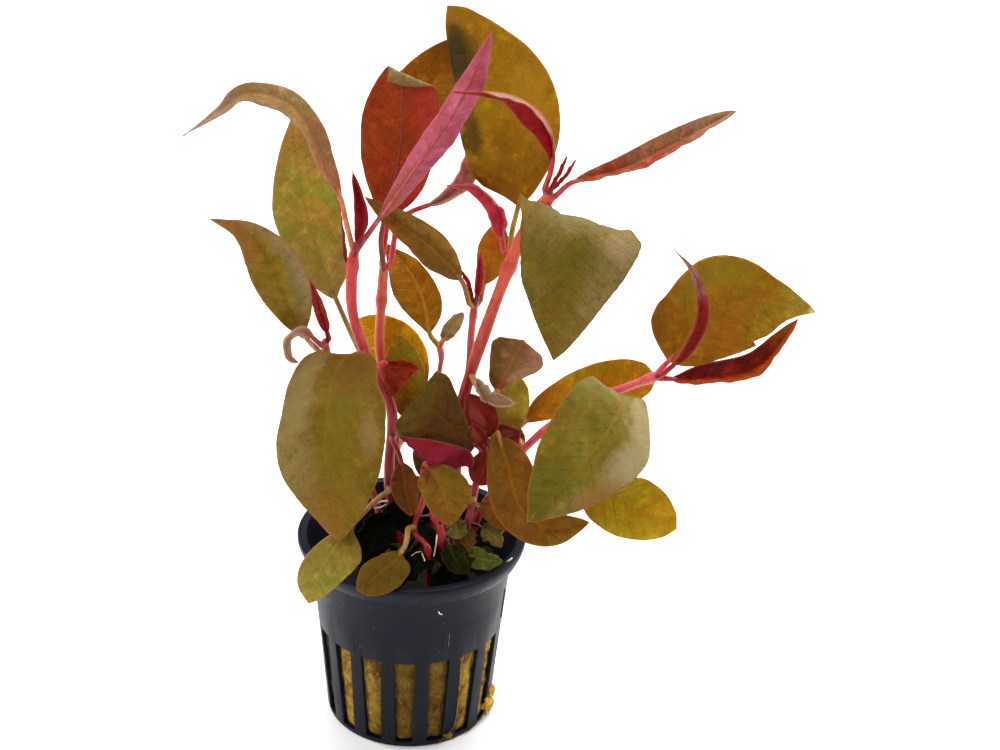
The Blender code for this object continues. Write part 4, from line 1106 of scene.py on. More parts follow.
# The leaves of the tall stem and of the fork behind it: the broad ochre one at the very top, a
# clawed red one that hooks in front of the pink leaf, a spear to the right, and the green one
# that hangs with its tip down.
grow_leaf("leaf_crown",
    [(20.5, 4.4, 118.5), (21, 6, 124.5), (22.5, 8, 133.5), (21.5, 9, 145), (16.5, 10, 157),
     (12, 10, 165), (5, 10, 174)],
    23.5, (0.5, 0.9), 0.2, lean=0.85,
    left_edge=[(0, 0.5), (0.03, 3.4), (0.07, 7.4), (0.15, 11), (0.27, 12.6), (0.4, 12.6),
        (0.53, 11), (0.66, 9.5), (0.78, 7.4), (0.88, 4.8), (0.95, 2.5), (1, 0.1)],
    right_edge=[(0, 0.5), (0.05, 2.4), (0.15, 5.5), (0.27, 8.6), (0.4, 10.8), (0.53, 11.2),
        (0.66, 9.6), (0.78, 6.8), (0.88, 4.5), (0.95, 2.7), (1, 0.1)],
    # The first two patches of crown_top are painted shadow, where leaves behind keep light from
    # shining through.
    skin=leaf_skin("crown_top", (156, 112, 18), light=(1.31, 1.32, 1.03), foot=(132, 88, 14),
        tip=(146, 102, 16), blotch=(168, 120, 28), rib=(150, 98, 16), edge=(186, 96, 44),
        vein=(142, 98, 14), veining=0.4, spacing=4.2,
        patches=((0.8, 0.15, -0.7, 0.8, 0.95, (56, 46, 4)),
            (0.41, 0.13, -0.78, 0.2, 0.85, (84, 58, 22)),
            (0.45, 0.22, 0.5, 0.4, 0.35, (176, 128, 44)))),
    under=under_crimson, stem=stalk_yellow, wave=(0.5, 2.2), quilt=0.18, seed=17)
grow_leaf("leaf_claw",
    [(27.7, -0.5, 137), (29, -2, 144), (27, -5, 153.5), (19.5, -9, 160), (7.5, -14, 162)],
    7.0, (0.8, 1.1), 0.15, ((-0.55, -0.7, -0.5),), 42,
    left_edge=[(0, 0.5), (0.1, 1.6), (0.25, 3.4), (0.4, 4.4), (0.52, 3.6), (0.66, 1.8), (0.8, 0.9),
        (0.92, 0.5), (1, 0.1)],
    right_edge=[(0, 0.5), (0.1, 0.7), (0.25, 1), (0.4, 1.2), (0.55, 1.4), (0.7, 1.4), (0.85, 1),
        (1, 0.1)],
    skin=leaf_skin("claw_inside", (150, 14, 14), blotch=(160, 40, 34), rib=(120, 10, 14),
        edge=(170, 90, 70), gloss=0.34),
    under=under_pale, stem=stalk_red, wave=(0.2, 3), seed=18)
grow_leaf("leaf_spear",
    [(30, -1.6, 135.8), (34, -3, 140), (43.5, -5, 144), (51.5, -7, 149), (66.5, -9, 159)],
    6.0, (0.8, 0.7), 0.12, ((-0.2, -0.6, 0.75),), 30,
    skin=leaf_skin("spear_top", (150, 84, 50), light=(1.13, 1.5, 1.69), foot=(164, 40, 28),
        tip=(156, 108, 78), blotch=(140, 76, 46), right=(158, 36, 28), rib=(124, 56, 36),
        edge=(160, 104, 76), vein=(120, 58, 36)),
    under=under_crimson, stem=stalk_red, wave=(0.25, 3), seed=19)
grow_leaf("leaf_hanging",
    [(29.5, -4.5, 133), (31, -11, 135.2), (33, -17.5, 135.2), (33, -21, 127.4), (31, -20, 105)],
    27.0, (0.55, 1.1), 0.1,
    ((0.32, -0.2, 0.86), (0.42, -0.6, 0.55), (0.1, -1, 0.2), (0.1, -1, 0.1)), 8, lean=0.9,
    left_edge=[(0, 0.8), (0.05, 7), (0.14, 12.2), (0.24, 15), (0.31, 16), (0.37, 15.2),
        (0.45, 13.2), (0.55, 11), (0.66, 8.4), (0.78, 5.8), (0.88, 3.6), (0.95, 1.9), (1, 0.1)],
    right_edge=[(0, 0.8), (0.04, 4.6), (0.1, 9.6), (0.18, 12.4), (0.27, 12.8), (0.4, 11.6),
        (0.53, 9.8), (0.66, 7.4), (0.78, 5.1), (0.88, 2.9), (0.95, 1.2), (1, 0.1)],
    # The pale left half and the first and last patches of hanging_top are painted sheen.
    skin=leaf_skin("hanging_top", (122, 98, 24), light=(0.97, 0.97, 1.1), foot=(134, 116, 54),
        tip=(124, 98, 22), blotch=(132, 112, 44), left=(150, 126, 70), rib=(128, 100, 30),
        edge=(140, 84, 30), vein=(112, 88, 20), veining=0.4, spacing=4.0,
        patches=((0.16, 0.12, 0.0, 0.8, 0.45, (136, 128, 80)),
            (0.5, 0.24, 0.15, 0.5, 0.45, (98, 88, 10)),
            (0.32, 0.12, -0.8, 0.3, 0.5, (168, 142, 96)))),
    under=under_crimson, stem=stalk_red, wave=(0.5, 2.0), quilt=0.2, seed=20)
grow_leaf("leaf_magenta",
    [(19.2, 3, 120.8), (18.6, 4, 125), (18, 5, 129.5), (13, 5, 134.5), (6, 5, 135)],
    6.0, (0.7, 1.2), 0.1, ((-0.3, -0.7, -0.5),), 25,
    skin=leaf_skin("magenta_inside", (182, 46, 72), light=(1.1, 1.15, 0.8), blotch=(212, 96, 116),
        rib=(150, 30, 60), edge=(206, 112, 118)),
    under=under_pink, stem=stalk_red, seed=21)
grow_leaf("leaf_dark",
    [(11.8, 6.6, 106.2), (9.8, 4, 113), (3.5, 1, 121), (-4.5, -1, 128), (-11.5, -2, 134)],
    8.3, (0.7, 1.0), 0.2, ((0.1, -0.7, 0.6),),
    skin=leaf_skin("dark_top", (108, 66, 10), light=(1.34, 1.4, 1.25), tip=(96, 60, 24),
        blotch=(124, 92, 26), right=(146, 108, 46), rib=(146, 92, 34), edge=(156, 60, 24),
        vein=(84, 50, 8)),
    under=under_crimson, stem=stalk_olive, seed=22)
grow_leaf("leaf_orange",
    [(14.3, 9.7, 105.6), (15, 10.3, 109.5), (16.5, 11, 115), (18, 12, 124.5)],
    7.5, (0.8, 0.8), 0.2,
    skin=leaf_skin("orange_top", (146, 76, 14), light=(1.56, 2.2, 1.8), blotch=(154, 96, 26),
        rib=(160, 70, 30), edge=(160, 70, 30)),
    under=under_orange, stem=stalk_yellow, seed=23)
young_red = leaf_skin("young_red", (172, 44, 44), light=(1.2, 1.1, 1.05), foot=(150, 20, 30),
                      tip=(126, 26, 34), blotch=(184, 66, 62), rib=(124, 12, 22),
                      edge=(176, 66, 64), veining=0.15, gloss=0.34)
grow_leaf("leaf_young_fork", [(13.4, 7.4, 106.3), (14, 6, 112.5), (14, 5, 119.5)],
    2.4, (0.8, 1.1), 0.06, fold=35, skin=young_red, under=under_crimson, stem=stalk_crimson,
    wave=(0.1, 2), quilt=0.03, seed=24)

# The bracts: three scale-like leaves, red and hardly a millimetre wide, which stand in the two
# upper joints. They are folded along their midribs and have next to no stalk.
BRACTS = [("bract_top_left", [(28.4, -2, 137), (30.4, -2.5, 141), (32.1, -3, 145.6)], 0.9),
          ("bract_top_right", [(29.2, -2, 137.4), (32, -2.5, 141), (34, -3, 144.8)], 0.8),
          ("bract_fork", [(12.6, 7.5, 106.5), (11.4, 6.5, 111.4), (9.5, 6, 114.8)], 1.0)]
for name, midrib, width in BRACTS:
    grow_leaf(name, midrib, width, (0.7, 0.9), 0.06, fold=30, skin=young_red,
              under=under_crimson, stem=stalk_crimson, stalk_mm=0.7, quilt=0.02, buckle=0.2,
              grid=(9, 21))

# The low leaves round the middle: a dark one whose margin rolls over and shows its crimson
# underside, small crimson and gold ones, dry grey ones, and those that spill over the rim. The dry
# ones are dull and let no light through.
grow_leaf("leaf_centre",
    [(15.5, -4, 74.4), (11.2, -7, 79.2), (6.2, -10, 85), (0.8, -12, 90.4)],
    28.0, (0.5, 0.3), 0.06, rolls=(165, 0), roll_span=(0.5, 0.62), roll_late=0.5, lean=0.62,
    wave=(0.1, 2), buckle=0.5,
    left_edge=[(0, 5), (0.08, 11), (0.2, 15.5), (0.32, 16.8), (0.5, 16), (0.65, 14), (0.8, 11.8),
        (0.92, 9.6), (1, 7.4)],
    right_edge=[(0, 0.5), (0.1, 1.2), (0.25, 2.4), (0.45, 4.4), (0.7, 6.8), (0.86, 8.4),
        (0.93, 8.5), (1, 7.8)],
    skin=leaf_skin("centre_top", (90, 50, 6), light=(1.05, 1.24, 0.75), tip=(100, 76, 28),
        blotch=(104, 66, 26), rib=(120, 68, 16), edge=(110, 84, 40), vein=(76, 40, 4), veining=0.4),
    under=leaf_skin("centre_under", (132, 26, 38), blotch=(156, 44, 74), rib=(170, 60, 60),
        edge=(150, 60, 60)),
    stem=stalk_red, seed=25)
# The pale pink patch of rosette_top is a painted highlight.
rosette_top = leaf_skin("rosette_top", (108, 26, 16), light=(1.1, 1.2, 0.85), blotch=(128, 44, 40),
                        rib=(150, 50, 40), edge=(150, 60, 50),
                        patches=((0.5, 0.35, -0.4, 0.4, 0.35, (168, 84, 90)),))
grow_leaf("leaf_crimson_up", [(17.3, -4, 75), (16.1, -4.5, 82), (12.1, -5.5, 89)],
    7.4, skin=rosette_top, under=under_crimson, stem=stalk_crimson, seed=26)
grow_leaf("leaf_rosette_right",
    [(18, -3, 74.3), (21.4, -2.5, 76.1), (24.8, -2, 77.8)],
    7.5, skin=rosette_top, under=under_crimson, stem=stalk_crimson, seed=46, grid=(17, 33))
grow_leaf("leaf_rosette_inner",
    [(17.2, -5, 74.5), (14.8, -5.5, 79), (13.6, -6, 82)],
    3.6, skin=rosette_top, under=under_crimson, stem=stalk_crimson, seed=47, grid=(17, 33))
grow_leaf("leaf_crimson_down",
    [(17.5, -6, 75.6), (17.2, -8, 72.6), (15.4, -9, 67.2)],
    7.4, (0.5, 0.6),
    skin=leaf_skin("crimson_down_top", (116, 34, 32), light=(1.1, 1.2, 0.9), blotch=(132, 44, 54),
        rib=(150, 50, 50), edge=(150, 80, 74)),
    under=under_crimson, stem=stalk_crimson, seed=27)
grow_leaf("leaf_narrow",
    [(-4.5, -5.5, 76), (-2.5, -8, 72.5), (-1, -11, 66), (0.5, -13, 60.5)],
    6.5, (0.7, 0.8), 0.3,
    skin=leaf_skin("narrow_top", (104, 58, 14), light=(1.09, 1.24, 0.66), blotch=(90, 44, 8),
        rib=(140, 80, 40), edge=(140, 70, 30)),
    under=under_crimson, stem=stalk_rust, seed=28)
grow_leaf("leaf_behind_gold", [(6, -7, 64), (5, -7, 71), (4, -7, 80)],
    9.0, (0.7, 0.7), 0.1,
    skin=leaf_skin("behind_gold_top", (92, 66, 14), blotch=(120, 84, 34), rib=(150, 90, 50),
        edge=(120, 70, 30), see_through=0),
    under=under_olive, stem=stalk_rust, seed=60, grid=(17, 33))
grow_leaf("leaf_gold", [(3.5, -12, 74), (7.2, -16.5, 70.5), (10, -19, 62)],
    11.0, (0.6, 0.6), 0.06,
    left_edge=[(0, 0.6), (0.06, 1.8), (0.15, 3.2), (0.27, 4.6), (0.4, 5.9), (0.53, 6.4),
        (0.66, 5.8), (0.78, 4.3), (0.88, 2.6), (0.95, 1.3), (1, 0.1)],
    right_edge=[(0, 0.6), (0.05, 2.2), (0.12, 3.8), (0.27, 4.6), (0.4, 4.6), (0.53, 4.5),
        (0.66, 4.1), (0.78, 3.4), (0.88, 2.5), (0.95, 1.4), (1, 0.1)],
    skin=leaf_skin("gold_top", (124, 92, 26), light=(1.09, 0.94, 0.77), foot=(98, 54, 6),
        blotch=(130, 104, 40), rib=(150, 106, 40), edge=(150, 90, 40), vein=(104, 70, 14)),
    under=under_crimson, stem=stalk_rust, seed=29)
grow_leaf("leaf_spill_left",
    [(-5, -6, 63), (-8, -10, 62.5), (-13, -17, 59.5), (-18.5, -23, 53.5), (-22, -26, 44)],
    12.5, (0.6, 0.9), 0.4,
    left_edge=[(0, 0.7), (0.06, 1.6), (0.13, 4.4), (0.22, 6.4), (0.4, 6.8), (0.53, 6.1),
        (0.66, 5.2), (0.78, 4), (0.88, 2.6), (0.95, 1.4), (1, 0.1)],
    right_edge=(0.7, 1.1, 1.9, 2.8, 3.6, 4.5, 4.8, 4.2, 3.1, 1.5, 0.1),
    skin=leaf_skin("spill_left_top", (138, 124, 50), light=(1.27, 1.25, 1.15), foot=(104, 78, 8),
        tip=(152, 134, 58), blotch=(148, 130, 62), rib=(160, 130, 70), edge=(160, 116, 60),
        vein=(120, 102, 32)),
    under=under_olive, stem=stalk_olive, seed=31)
grow_leaf("leaf_spill_front",
    [(-0.2, -13.2, 57.2), (-0.7, -18, 55.2), (-4, -25, 54), (-10.5, -29, 50)],
    11.0, (0.6, 0.6), 0.35,
    left_edge=[(0, 0.7), (0.06, 1.6), (0.12, 3), (0.2, 4.2), (0.3, 4.7), (0.53, 4.9), (0.66, 4.6),
        (0.78, 3.9), (0.88, 3), (0.95, 1.9), (1, 0.1)],
    right_edge=[(0, 0.7), (0.08, 1.3), (0.18, 2.1), (0.3, 2.8), (0.42, 3.4), (0.53, 3.8),
        (0.66, 3.9), (0.78, 3.3), (0.88, 2.4), (0.95, 1.4), (1, 0.1)],
    skin=leaf_skin("spill_front_top", (110, 80, 8), light=(0.9, 0.93, 0.5), tip=(120, 92, 20),
        blotch=(124, 94, 20), rib=(140, 100, 40), edge=(140, 90, 30), vein=(92, 64, 4)),
    under=under_olive, stem=stalk_yellow, seed=32)
grow_leaf("leaf_small_right",
    [(14.4, -8.5, 62), (19.2, -11.5, 61.6), (25.5, -14.5, 58)],
    5.0,
    skin=leaf_skin("small_right_top", (98, 64, 8), light=(1.22, 1.07, 0.53), blotch=(120, 84, 20),
        rib=(140, 80, 30), edge=(130, 70, 24)),
    under=under_olive, stem=stalk_olive, seed=34)
grow_leaf("leaf_sweep",
    [(19.5, -5, 79), (22.3, -9.2, 72.5), (25.5, -15.6, 65.5), (32, -20, 63), (41, -22, 66)],
    12.0, (0.5, 0.8), 0.04,
    skin=leaf_skin("sweep_top", (104, 62, 6), light=(1.44, 1.54, 0.87), tip=(124, 86, 12),
        blotch=(116, 80, 16), rib=(140, 84, 26), edge=(140, 80, 30), vein=(88, 52, 4)),
    under=under_orange, stem=stalk_olive, seed=35)
grow_leaf("leaf_grey",
    [(17, 3, 74.5), (17.5, 2, 82.3), (19, -0.5, 87.2), (21.5, -4, 95), (24.5, -6, 103)],
    13.0, (0.9, 0.3), 0.45,
    left_edge=(0.5, 1.8, 2.7, 3.5, 4.1, 4.9, 5.6, 6.1, 5.8, 4.4, 0.1),
    right_edge=(0.5, 0.8, 1.2, 2.1, 3.2, 4.6, 6, 6.6, 6.2, 4.4, 0.1),
    # The pale right half of grey_top is a painted highlight.
    skin=leaf_skin("grey_top", (126, 102, 72), light=(1.3, 1.03, 0.71), foot=(112, 60, 40),
        left=(90, 70, 30), right=(168, 136, 124), blotch=(112, 92, 66), rib=(176, 104, 50),
        edge=(160, 110, 80), vein=(104, 80, 56)),
    under=under_olive, stem=stalk_orange, seed=36)
grow_leaf("leaf_lime", [(18, 2, 71.5), (21, 3, 74.5), (22.5, 3, 80.5), (24, 3, 89.5)],
    8.0, (0.7, 0.6), 0.15,
    left_edge=(0.4, 1.5, 2.9, 3.9, 4.8, 5.2, 5.1, 4.5, 3.3, 1.8, 0.1),
    skin=leaf_skin("lime_top", (142, 118, 42), light=(1.71, 1.89, 1.39), foot=(110, 80, 20),
        blotch=(152, 130, 56), rib=(150, 110, 50), edge=(150, 100, 50)),
    under=under_olive, stem=stalk_orange, seed=37)
dry_top = leaf_skin("dry_top", (150, 118, 88), blotch=(118, 92, 52), rib=(160, 120, 90),
                    edge=(190, 168, 140), see_through=0)
grow_leaf("leaf_dry_curl", [(17.6, -5, 86.8), (16.1, -6, 89.7), (14.2, -6, 92.9)],
    3.6, (0.5, 0.5), 0.05, fold=35, skin=dry_top, under=under_olive, stem=stalk_olive, seed=48,
    grid=(17, 33))
grow_leaf("leaf_dry", [(15.2, -5, 89.2), (18.6, -6, 88), (23.3, -6, 87)],
    3.0, skin=dry_top, under=under_pale, stem=stalk_olive, seed=38)
grow_leaf("leaf_stub", [(23, 2.5, 69), (24.5, 3, 73), (23, 4, 76.5)],
    3.5, (0.6, 0.6),
    skin=leaf_skin("stub_top", (122, 50, 8), light=(1.25, 1.16, 1.22), blotch=(136, 70, 16),
        rib=(150, 70, 30), edge=(140, 60, 20), see_through=0),
    under=under_orange, stem=stalk_rust, seed=39)

# The leaves of the right stem: a green one that cups towards the pot, two ochre ones behind and
# below it, the wide one at the end with its narrow maroon neighbour, and a hooked red one.
grow_leaf("leaf_green",
    [(45.5, -5, 90), (47, -14, 93.5), (44.5, -22, 91), (37.5, -27, 82), (27, -28, 69)],
    20.5, (0.6, 0.8), 0.06, ((0.35, -0.2, 0.9), (0.3, -0.7, 0.6), (0, -1, 0.2)), 8, lean=1.15,
    left_edge=[(0, 0.5), (0.05, 2.2), (0.15, 4.6), (0.27, 7.5), (0.4, 11), (0.53, 10.6),
        (0.66, 8.5), (0.78, 6.2), (0.88, 3.8), (0.95, 2), (1, 0.1)],
    right_edge=[(0, 0.5), (0.04, 3.5), (0.15, 8.6), (0.27, 11.2), (0.4, 12.2), (0.53, 12),
        (0.66, 10.4), (0.78, 7.5), (0.88, 4.8), (0.95, 1.9), (1, 0.1)],
    # The pale foot and the pale first patch of green_top are painted sheen.
    skin=leaf_skin("green_top", (118, 102, 18), light=(1.19, 1.2, 1.37), foot=(154, 144, 84),
        tip=(92, 78, 12), blotch=(136, 124, 50), left=(140, 118, 54), rib=(150, 112, 40),
        edge=(160, 100, 34), vein=(100, 84, 14), veining=0.4, spacing=3.8,
        patches=((0.36, 0.24, -0.75, 0.42, 0.7, (176, 160, 110)),
            (0.66, 0.14, -0.8, 0.3, 0.45, (146, 92, 52)), (0.8, 0.2, 0.3, 0.7, 0.5, (84, 82, 10)))),
    under=under_crimson, stem=stalk_red, wave=(0.6, 2.2), quilt=0.2, seed=40)
grow_leaf("leaf_low_right",
    [(34, -3, 79.5), (42.5, -8, 69.5), (51, -11, 64.5), (62, -12, 59.5)],
    16.0, (0.7, 0.45), 0.3,
    left_edge=[(0, 0.5), (0.08, 2.4), (0.15, 4), (0.27, 5.4), (0.4, 6.2), (0.53, 7.2), (0.66, 7),
        (0.78, 6.1), (0.88, 4.4), (0.95, 2.6), (1, 0.1)],
    right_edge=[(0, 0.5), (0.08, 3), (0.15, 5.2), (0.27, 7.4), (0.4, 8), (0.53, 7.8), (0.66, 6.8),
        (0.78, 5.5), (0.88, 3.9), (0.95, 2.2), (1, 0.1)],
    skin=leaf_skin("low_right_top", (166, 128, 14), light=(1.3, 1.52, 1.0), foot=(150, 104, 16),
        blotch=(174, 138, 30), rib=(176, 120, 40), edge=(176, 100, 30), vein=(146, 108, 10),
        veining=0.35),
    under=under_olive, stem=stalk_orange, seed=41)
grow_leaf("leaf_ochre",
    [(24, 6.5, 74), (30.5, 7.5, 79.5), (43.5, 8.5, 84.7), (56.5, 9, 88)],
    14.5, (0.8, 0.55), 0.08,
    left_edge=(0.4, 1.8, 3.2, 4.6, 5.7, 6.2, 6.3, 6, 5, 3.4, 0.1),
    right_edge=(0.4, 1.8, 2.8, 3.8, 4.4, 5, 5.3, 5, 4, 2.6, 0.1),
    skin=leaf_skin("ochre_top", (172, 116, 24), light=(1.31, 1.43, 0.81), foot=(144, 88, 12),
        blotch=(180, 126, 36), rib=(180, 110, 40), edge=(184, 96, 36), vein=(150, 98, 16),
        veining=0.35),
    under=under_olive, stem=stalk_orange, seed=42)
grow_leaf("leaf_wide_right",
    [(56.6, -1.4, 95.6), (62.5, 2, 101), (72.5, 4, 110), (81, 2, 111.5), (89.5, -3, 111.5)],
    21.0, (0.7, 1.2), 0.05,
    left_edge=[(0, 0.6), (0.03, 5), (0.08, 9.2), (0.15, 11), (0.27, 11.8), (0.4, 12.6), (0.5, 12.6),
        (0.6, 9.4), (0.7, 6.4), (0.8, 4.2), (0.88, 2.6), (0.95, 1.4), (1, 0.3)],
    right_edge=[(0, 0.5), (0.03, 2.8), (0.08, 5), (0.15, 6.4), (0.27, 8.6), (0.4, 10.4),
        (0.53, 10.9), (0.66, 9.8), (0.78, 6.4), (0.88, 2.8), (0.95, 1), (1, 0.1)],
    # The last patch of wide_right_top, at the very tip, is a painted highlight.
    skin=leaf_skin("wide_right_top", (158, 106, 18), light=(1.06, 1.12, 0.9), foot=(146, 94, 8),
        tip=(146, 122, 44), blotch=(164, 118, 34), rib=(176, 110, 40), edge=(180, 100, 40),
        vein=(136, 90, 10), veining=0.4, spacing=4.0,
        patches=((0.5, 0.22, -0.7, 0.4, 0.5, (132, 120, 34)),
            (0.35, 0.2, 0.4, 0.4, 0.4, (172, 106, 26)),
            (0.99, 0.04, 0, 1.6, 0.8, (206, 198, 168)))),
    under=under_crimson, stem=stalk_red, wave=(0.5, 2.4), quilt=0.18, seed=43)
grow_leaf("leaf_maroon",
    [(56.5, -4, 94), (64.5, -9, 97), (76, -12, 101.5), (84, -13, 114)],
    7.5, (0.8, 0.9), 0.06, ((-0.2, -0.5, 0.8),), 35,
    skin=leaf_skin("maroon_top", (112, 24, 12), light=(1.1, 1.1, 1.0), tip=(150, 80, 30),
        blotch=(140, 50, 20), left=(84, 14, 12), right=(166, 70, 24), rib=(110, 20, 16),
        edge=(160, 70, 30), gloss=0.34),
    under=under_crimson, stem=stalk_red, wave=(0.3, 2.5), seed=44)
grow_leaf("leaf_hook",
    [(56.5, -5, 95.5), (61, -9, 103.5), (63.5, -11, 113.5), (61, -11, 122.5), (56, -10, 128)],
    3.2, (0.7, 1.2), 0.1, fold=25,
    skin=leaf_skin("hook_top", (120, 26, 24), light=(1.1, 1.05, 1.0), tip=(200, 190, 180),
        blotch=(158, 62, 52), rib=(130, 40, 36), edge=(170, 80, 66)),
    under=under_crimson, stem=stalk_crimson, wave=(0.15, 3), quilt=0.04, seed=45)

# The old leaves on the wool: small, dull and curled, olive, brown, dark green and nearly black.
# The first five can be told apart; the others lie under and between them, in the pot's shade.
pot_olive = leaf_skin("pot_olive", (88, 80, 26), blotch=(116, 108, 56), rib=(132, 118, 66),
                      edge=(110, 86, 40), see_through=0)
pot_brown = leaf_skin("pot_brown", (82, 54, 12), blotch=(104, 84, 34), rib=(110, 90, 40),
                      edge=(90, 40, 16), see_through=0)
pot_dark = leaf_skin("pot_dark", (34, 36, 6), blotch=(54, 58, 18), rib=(70, 64, 28),
                     edge=(60, 44, 18), shine=0.05, see_through=0)
pot_green = leaf_skin("pot_green", (66, 70, 12), blotch=(108, 116, 48), rib=(116, 116, 56),
                      edge=(96, 88, 40), see_through=0)
pot_black = leaf_skin("pot_black", (14, 20, 6), blotch=(26, 36, 10), rib=(34, 34, 12),
                      edge=(30, 26, 8), shine=0.02, see_through=0)
stalk_old = stalk_finish("stalk_old", (70, 50, 22), (50, 30, 14))
POT_LEAVES = [([(2, -11.5, 53.3), (-0.5, -9.5, 56), (-2.3, -8, 59.5)], 5.0, pot_black, "leaf_dark"),
              ([(9, -12, 54), (11, -16, 51), (14.5, -18, 48.5)], 6.4, pot_dark, "leaf_dark"),
              ([(12, -8, 55.5), (13.5, -12, 54), (14.5, -15, 52.5)], 4.6, pot_brown, "leaf_olive"),
              ([(16, -6, 54.5), (19.5, -9, 54), (21.5, -12, 52.5)], 5.4, pot_olive, "leaf_olive"),
              ([(11.5, -12, 52.5), (16.5, -15, 51), (22, -15, 50.5)], 5.6, pot_green, "leaf_green")]
for number, (midrib, width, skin, slot) in enumerate(POT_LEAVES):
    grow_leaf("pot_leaf_%d" % (number + 1), midrib, width, skin=skin, under=skin,
              stem=stalk_old, curl=25, wave=(0.5, 2.5), stalk_mm=0.8, seed=50 + number)
OLD_LEAVES = [([(0.2, -6, 58), (-2.4, -9, 58.6), (-5, -12, 56)], 7.0, pot_black),
              ([(-3.9, -8, 57), (-6.8, -12, 56), (-9.5, -16, 52)], 8.0, pot_black),
              ([(9.8, -12, 60.1), (10.9, -14, 58.4), (11.5, -15, 56)], 4.6, pot_olive),
              ([(6, -14, 50), (2, -18, 50), (-2, -21, 47)], 8.0, pot_black),
              ([(0, -13, 50), (-5, -17, 50), (-10, -19, 46)], 8.5, pot_black),
              ([(14, -14, 47), (10, -19, 47), (6, -22, 44)], 8.0, pot_black),
              ([(12, -12, 48), (17, -15, 48), (20, -13, 46)], 7.5, pot_black),
              ([(-8, -8, 50), (-13, -12, 50), (-16, -14, 47)], 8.5, pot_black),
              ([(-6, -3, 50), (-12, -5, 51), (-18, -6, 48)], 9.0, pot_black),
              ([(-6, 3, 48), (-12, 6, 49), (-17, 8, 47)], 9.0, pot_black),
              ([(2, -7, 51), (6, -11, 52), (9, -14, 49)], 7.5, pot_black),
              ([(6, -4, 52), (3, -9, 53), (0, -12, 51)], 7.0, pot_black),
              ([(15, -3, 50), (19, -6, 51), (22, -5, 49)], 7.0, pot_black),
              ([(14, 5, 49), (18, 8, 49), (20, 10, 47)], 8.0, pot_black),
              ([(2, 8, 48), (-3, 13, 49), (-6, 17, 47)], 9.0, pot_black),
              ([(8, 9, 48), (9, 14, 49), (10, 19, 47)], 9.0, pot_black),
              ([(16, -10, 49), (13, -14, 51), (9, -16, 49)], 5.5, pot_dark),
              ([(-1, -12, 52), (-3, -15, 51), (-4, -18, 49)], 5.0, pot_green)]
for number, (midrib, width, skin) in enumerate(OLD_LEAVES):
    grow_leaf("old_leaf_%d" % (number + 1), midrib, width, (0.6, 0.6), 0.08,
              ((0.1, -0.5, 0.85),), skin=skin, under=skin, stem=stalk_old, curl=30, wave=(0.7, 2.5),
              stalk_mm=0.8, buckle=1.6, seed=60 + number, grid=(15, 25))

# The white roots: threads that have come up between the old leaves and over the wool. They are
# round, smooth and a little brown in places.
ROOT_LINES = [([(6.6, -15, 56.9), (6.5, -17, 55.4), (6.1, -18, 53)], 0.16),
              ([(3.3, -18, 53.7), (4.1, -19, 52.2)], 0.14),
              ([(-8, -10, 61.8), (-6.6, -10, 62.4), (-5.2, -10, 62.5)], 0.2),
              ([(-8.5, -10, 60.4), (-7, -10, 60.7), (-5.6, -10, 61.6)], 0.14),
              ([(1, -19, 53.4), (2, -19, 54.4), (3.2, -18.5, 54.4)], 0.1),
              ([(21.4, -12, 47.4), (22.8, -12.5, 48.6), (24.2, -13, 50.3)], 0.2)]


def root_finish():
    """White root, browner in soft patches."""
    material, tree, shader = new_finish("root_white")
    patch = cloud(tree, place_in(tree), 400, 2)
    white, brown = tone(226, 220, 208), tone(176, 142, 104)
    colour = mix_tones(tree, ramp(tree, patch, 0.4, 0.65), white, brown)
    link(tree, colour, shader, "Base Color")
    shader.inputs["Roughness"].default_value = 0.5
    return material


root_runs = [[(spot, girth) for spot in line] for line, girth in ROOT_LINES]
roots = draw_tubes("white_roots", root_runs)
settle(roots, root_finish())
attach(roots, "root")

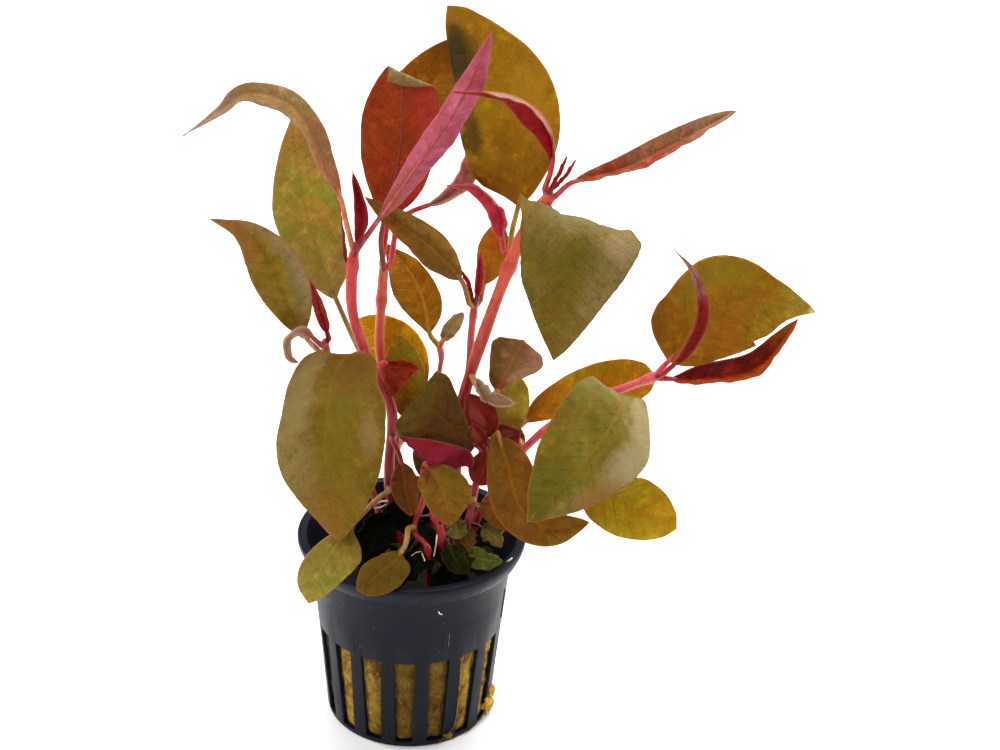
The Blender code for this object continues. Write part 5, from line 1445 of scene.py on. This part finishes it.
# The studio: a plain white floor, and round soft lights above and behind, on both sides and in
# front, with a little light from the air.
bpy.ops.mesh.primitive_plane_add(size=6, location=(0, 0, 0))
floor = bpy.context.active_object
floor.name = "studio_floor"
floor_paint, floor_tree, floor_shader = new_finish("floor_white")
floor_tone = cloud(floor_tree, place_in(floor_tree), 3, 2)
link(floor_tree, mix_tones(floor_tree, floor_tone, tone(244, 244, 244), tone(250, 250, 250)),
     floor_shader, "Base Color")
floor_shader.inputs["Roughness"].default_value = 0.9
floor_shader.inputs["Specular IOR Level"].default_value = 0.1
settle(floor, floor_paint)


def soft_light(name, spot, aim, size, power):
    lamp = bpy.data.lights.new(name, "AREA")
    lamp.shape = "DISK"
    lamp.size = size
    lamp.energy = power
    holder = bpy.data.objects.new(name, lamp)
    bpy.context.scene.collection.objects.link(holder)
    holder.location = spot
    holder.rotation_euler = (Vector(aim) - Vector(spot)).to_track_quat("-Z", "Y").to_euler()


soft_light("light_top", (0.1, 0.4, 1.2), (0, 0, 0.08), 1.1, 23)
soft_light("light_left", (-1.0, 0.25, 0.6), (0, 0, 0.09), 0.6, 11)
soft_light("light_right", (0.95, 0.3, 0.5), (0, 0, 0.09), 0.5, 8)
soft_light("light_front", (-0.35, -0.9, 1.1), (0, 0, 0.09), 0.45, 8)
world = bpy.data.worlds.new("studio_air")
world.use_nodes = True
world.node_tree.nodes["Background"].inputs["Color"].default_value = (1.0, 1.0, 1.0, 1.0)
world.node_tree.nodes["Background"].inputs["Strength"].default_value = 0.3
bpy.context.scene.world = world
bpy.context.scene.view_settings.view_transform = "Standard"

# The camera: a long lens a little above the rim of the pot, looking down at it, where the picture
# was taken from. It is turned slightly about its own axis.
eye = bpy.data.cameras.new("studio_camera")
eye.lens = 62.5
eye.sensor_width = 36
camera = bpy.data.objects.new("studio_camera", eye)
bpy.context.scene.collection.objects.link(camera)
camera.location = (0.0196, -0.3609, 0.2637)
lean_down = Matrix.Rotation(math.radians(64.47), 3, "X")
sideways_tilt = Matrix.Rotation(math.radians(2.38), 3, "Z")
camera.rotation_euler = (lean_down @ sideways_tilt).to_euler()
bpy.context.scene.camera = camera
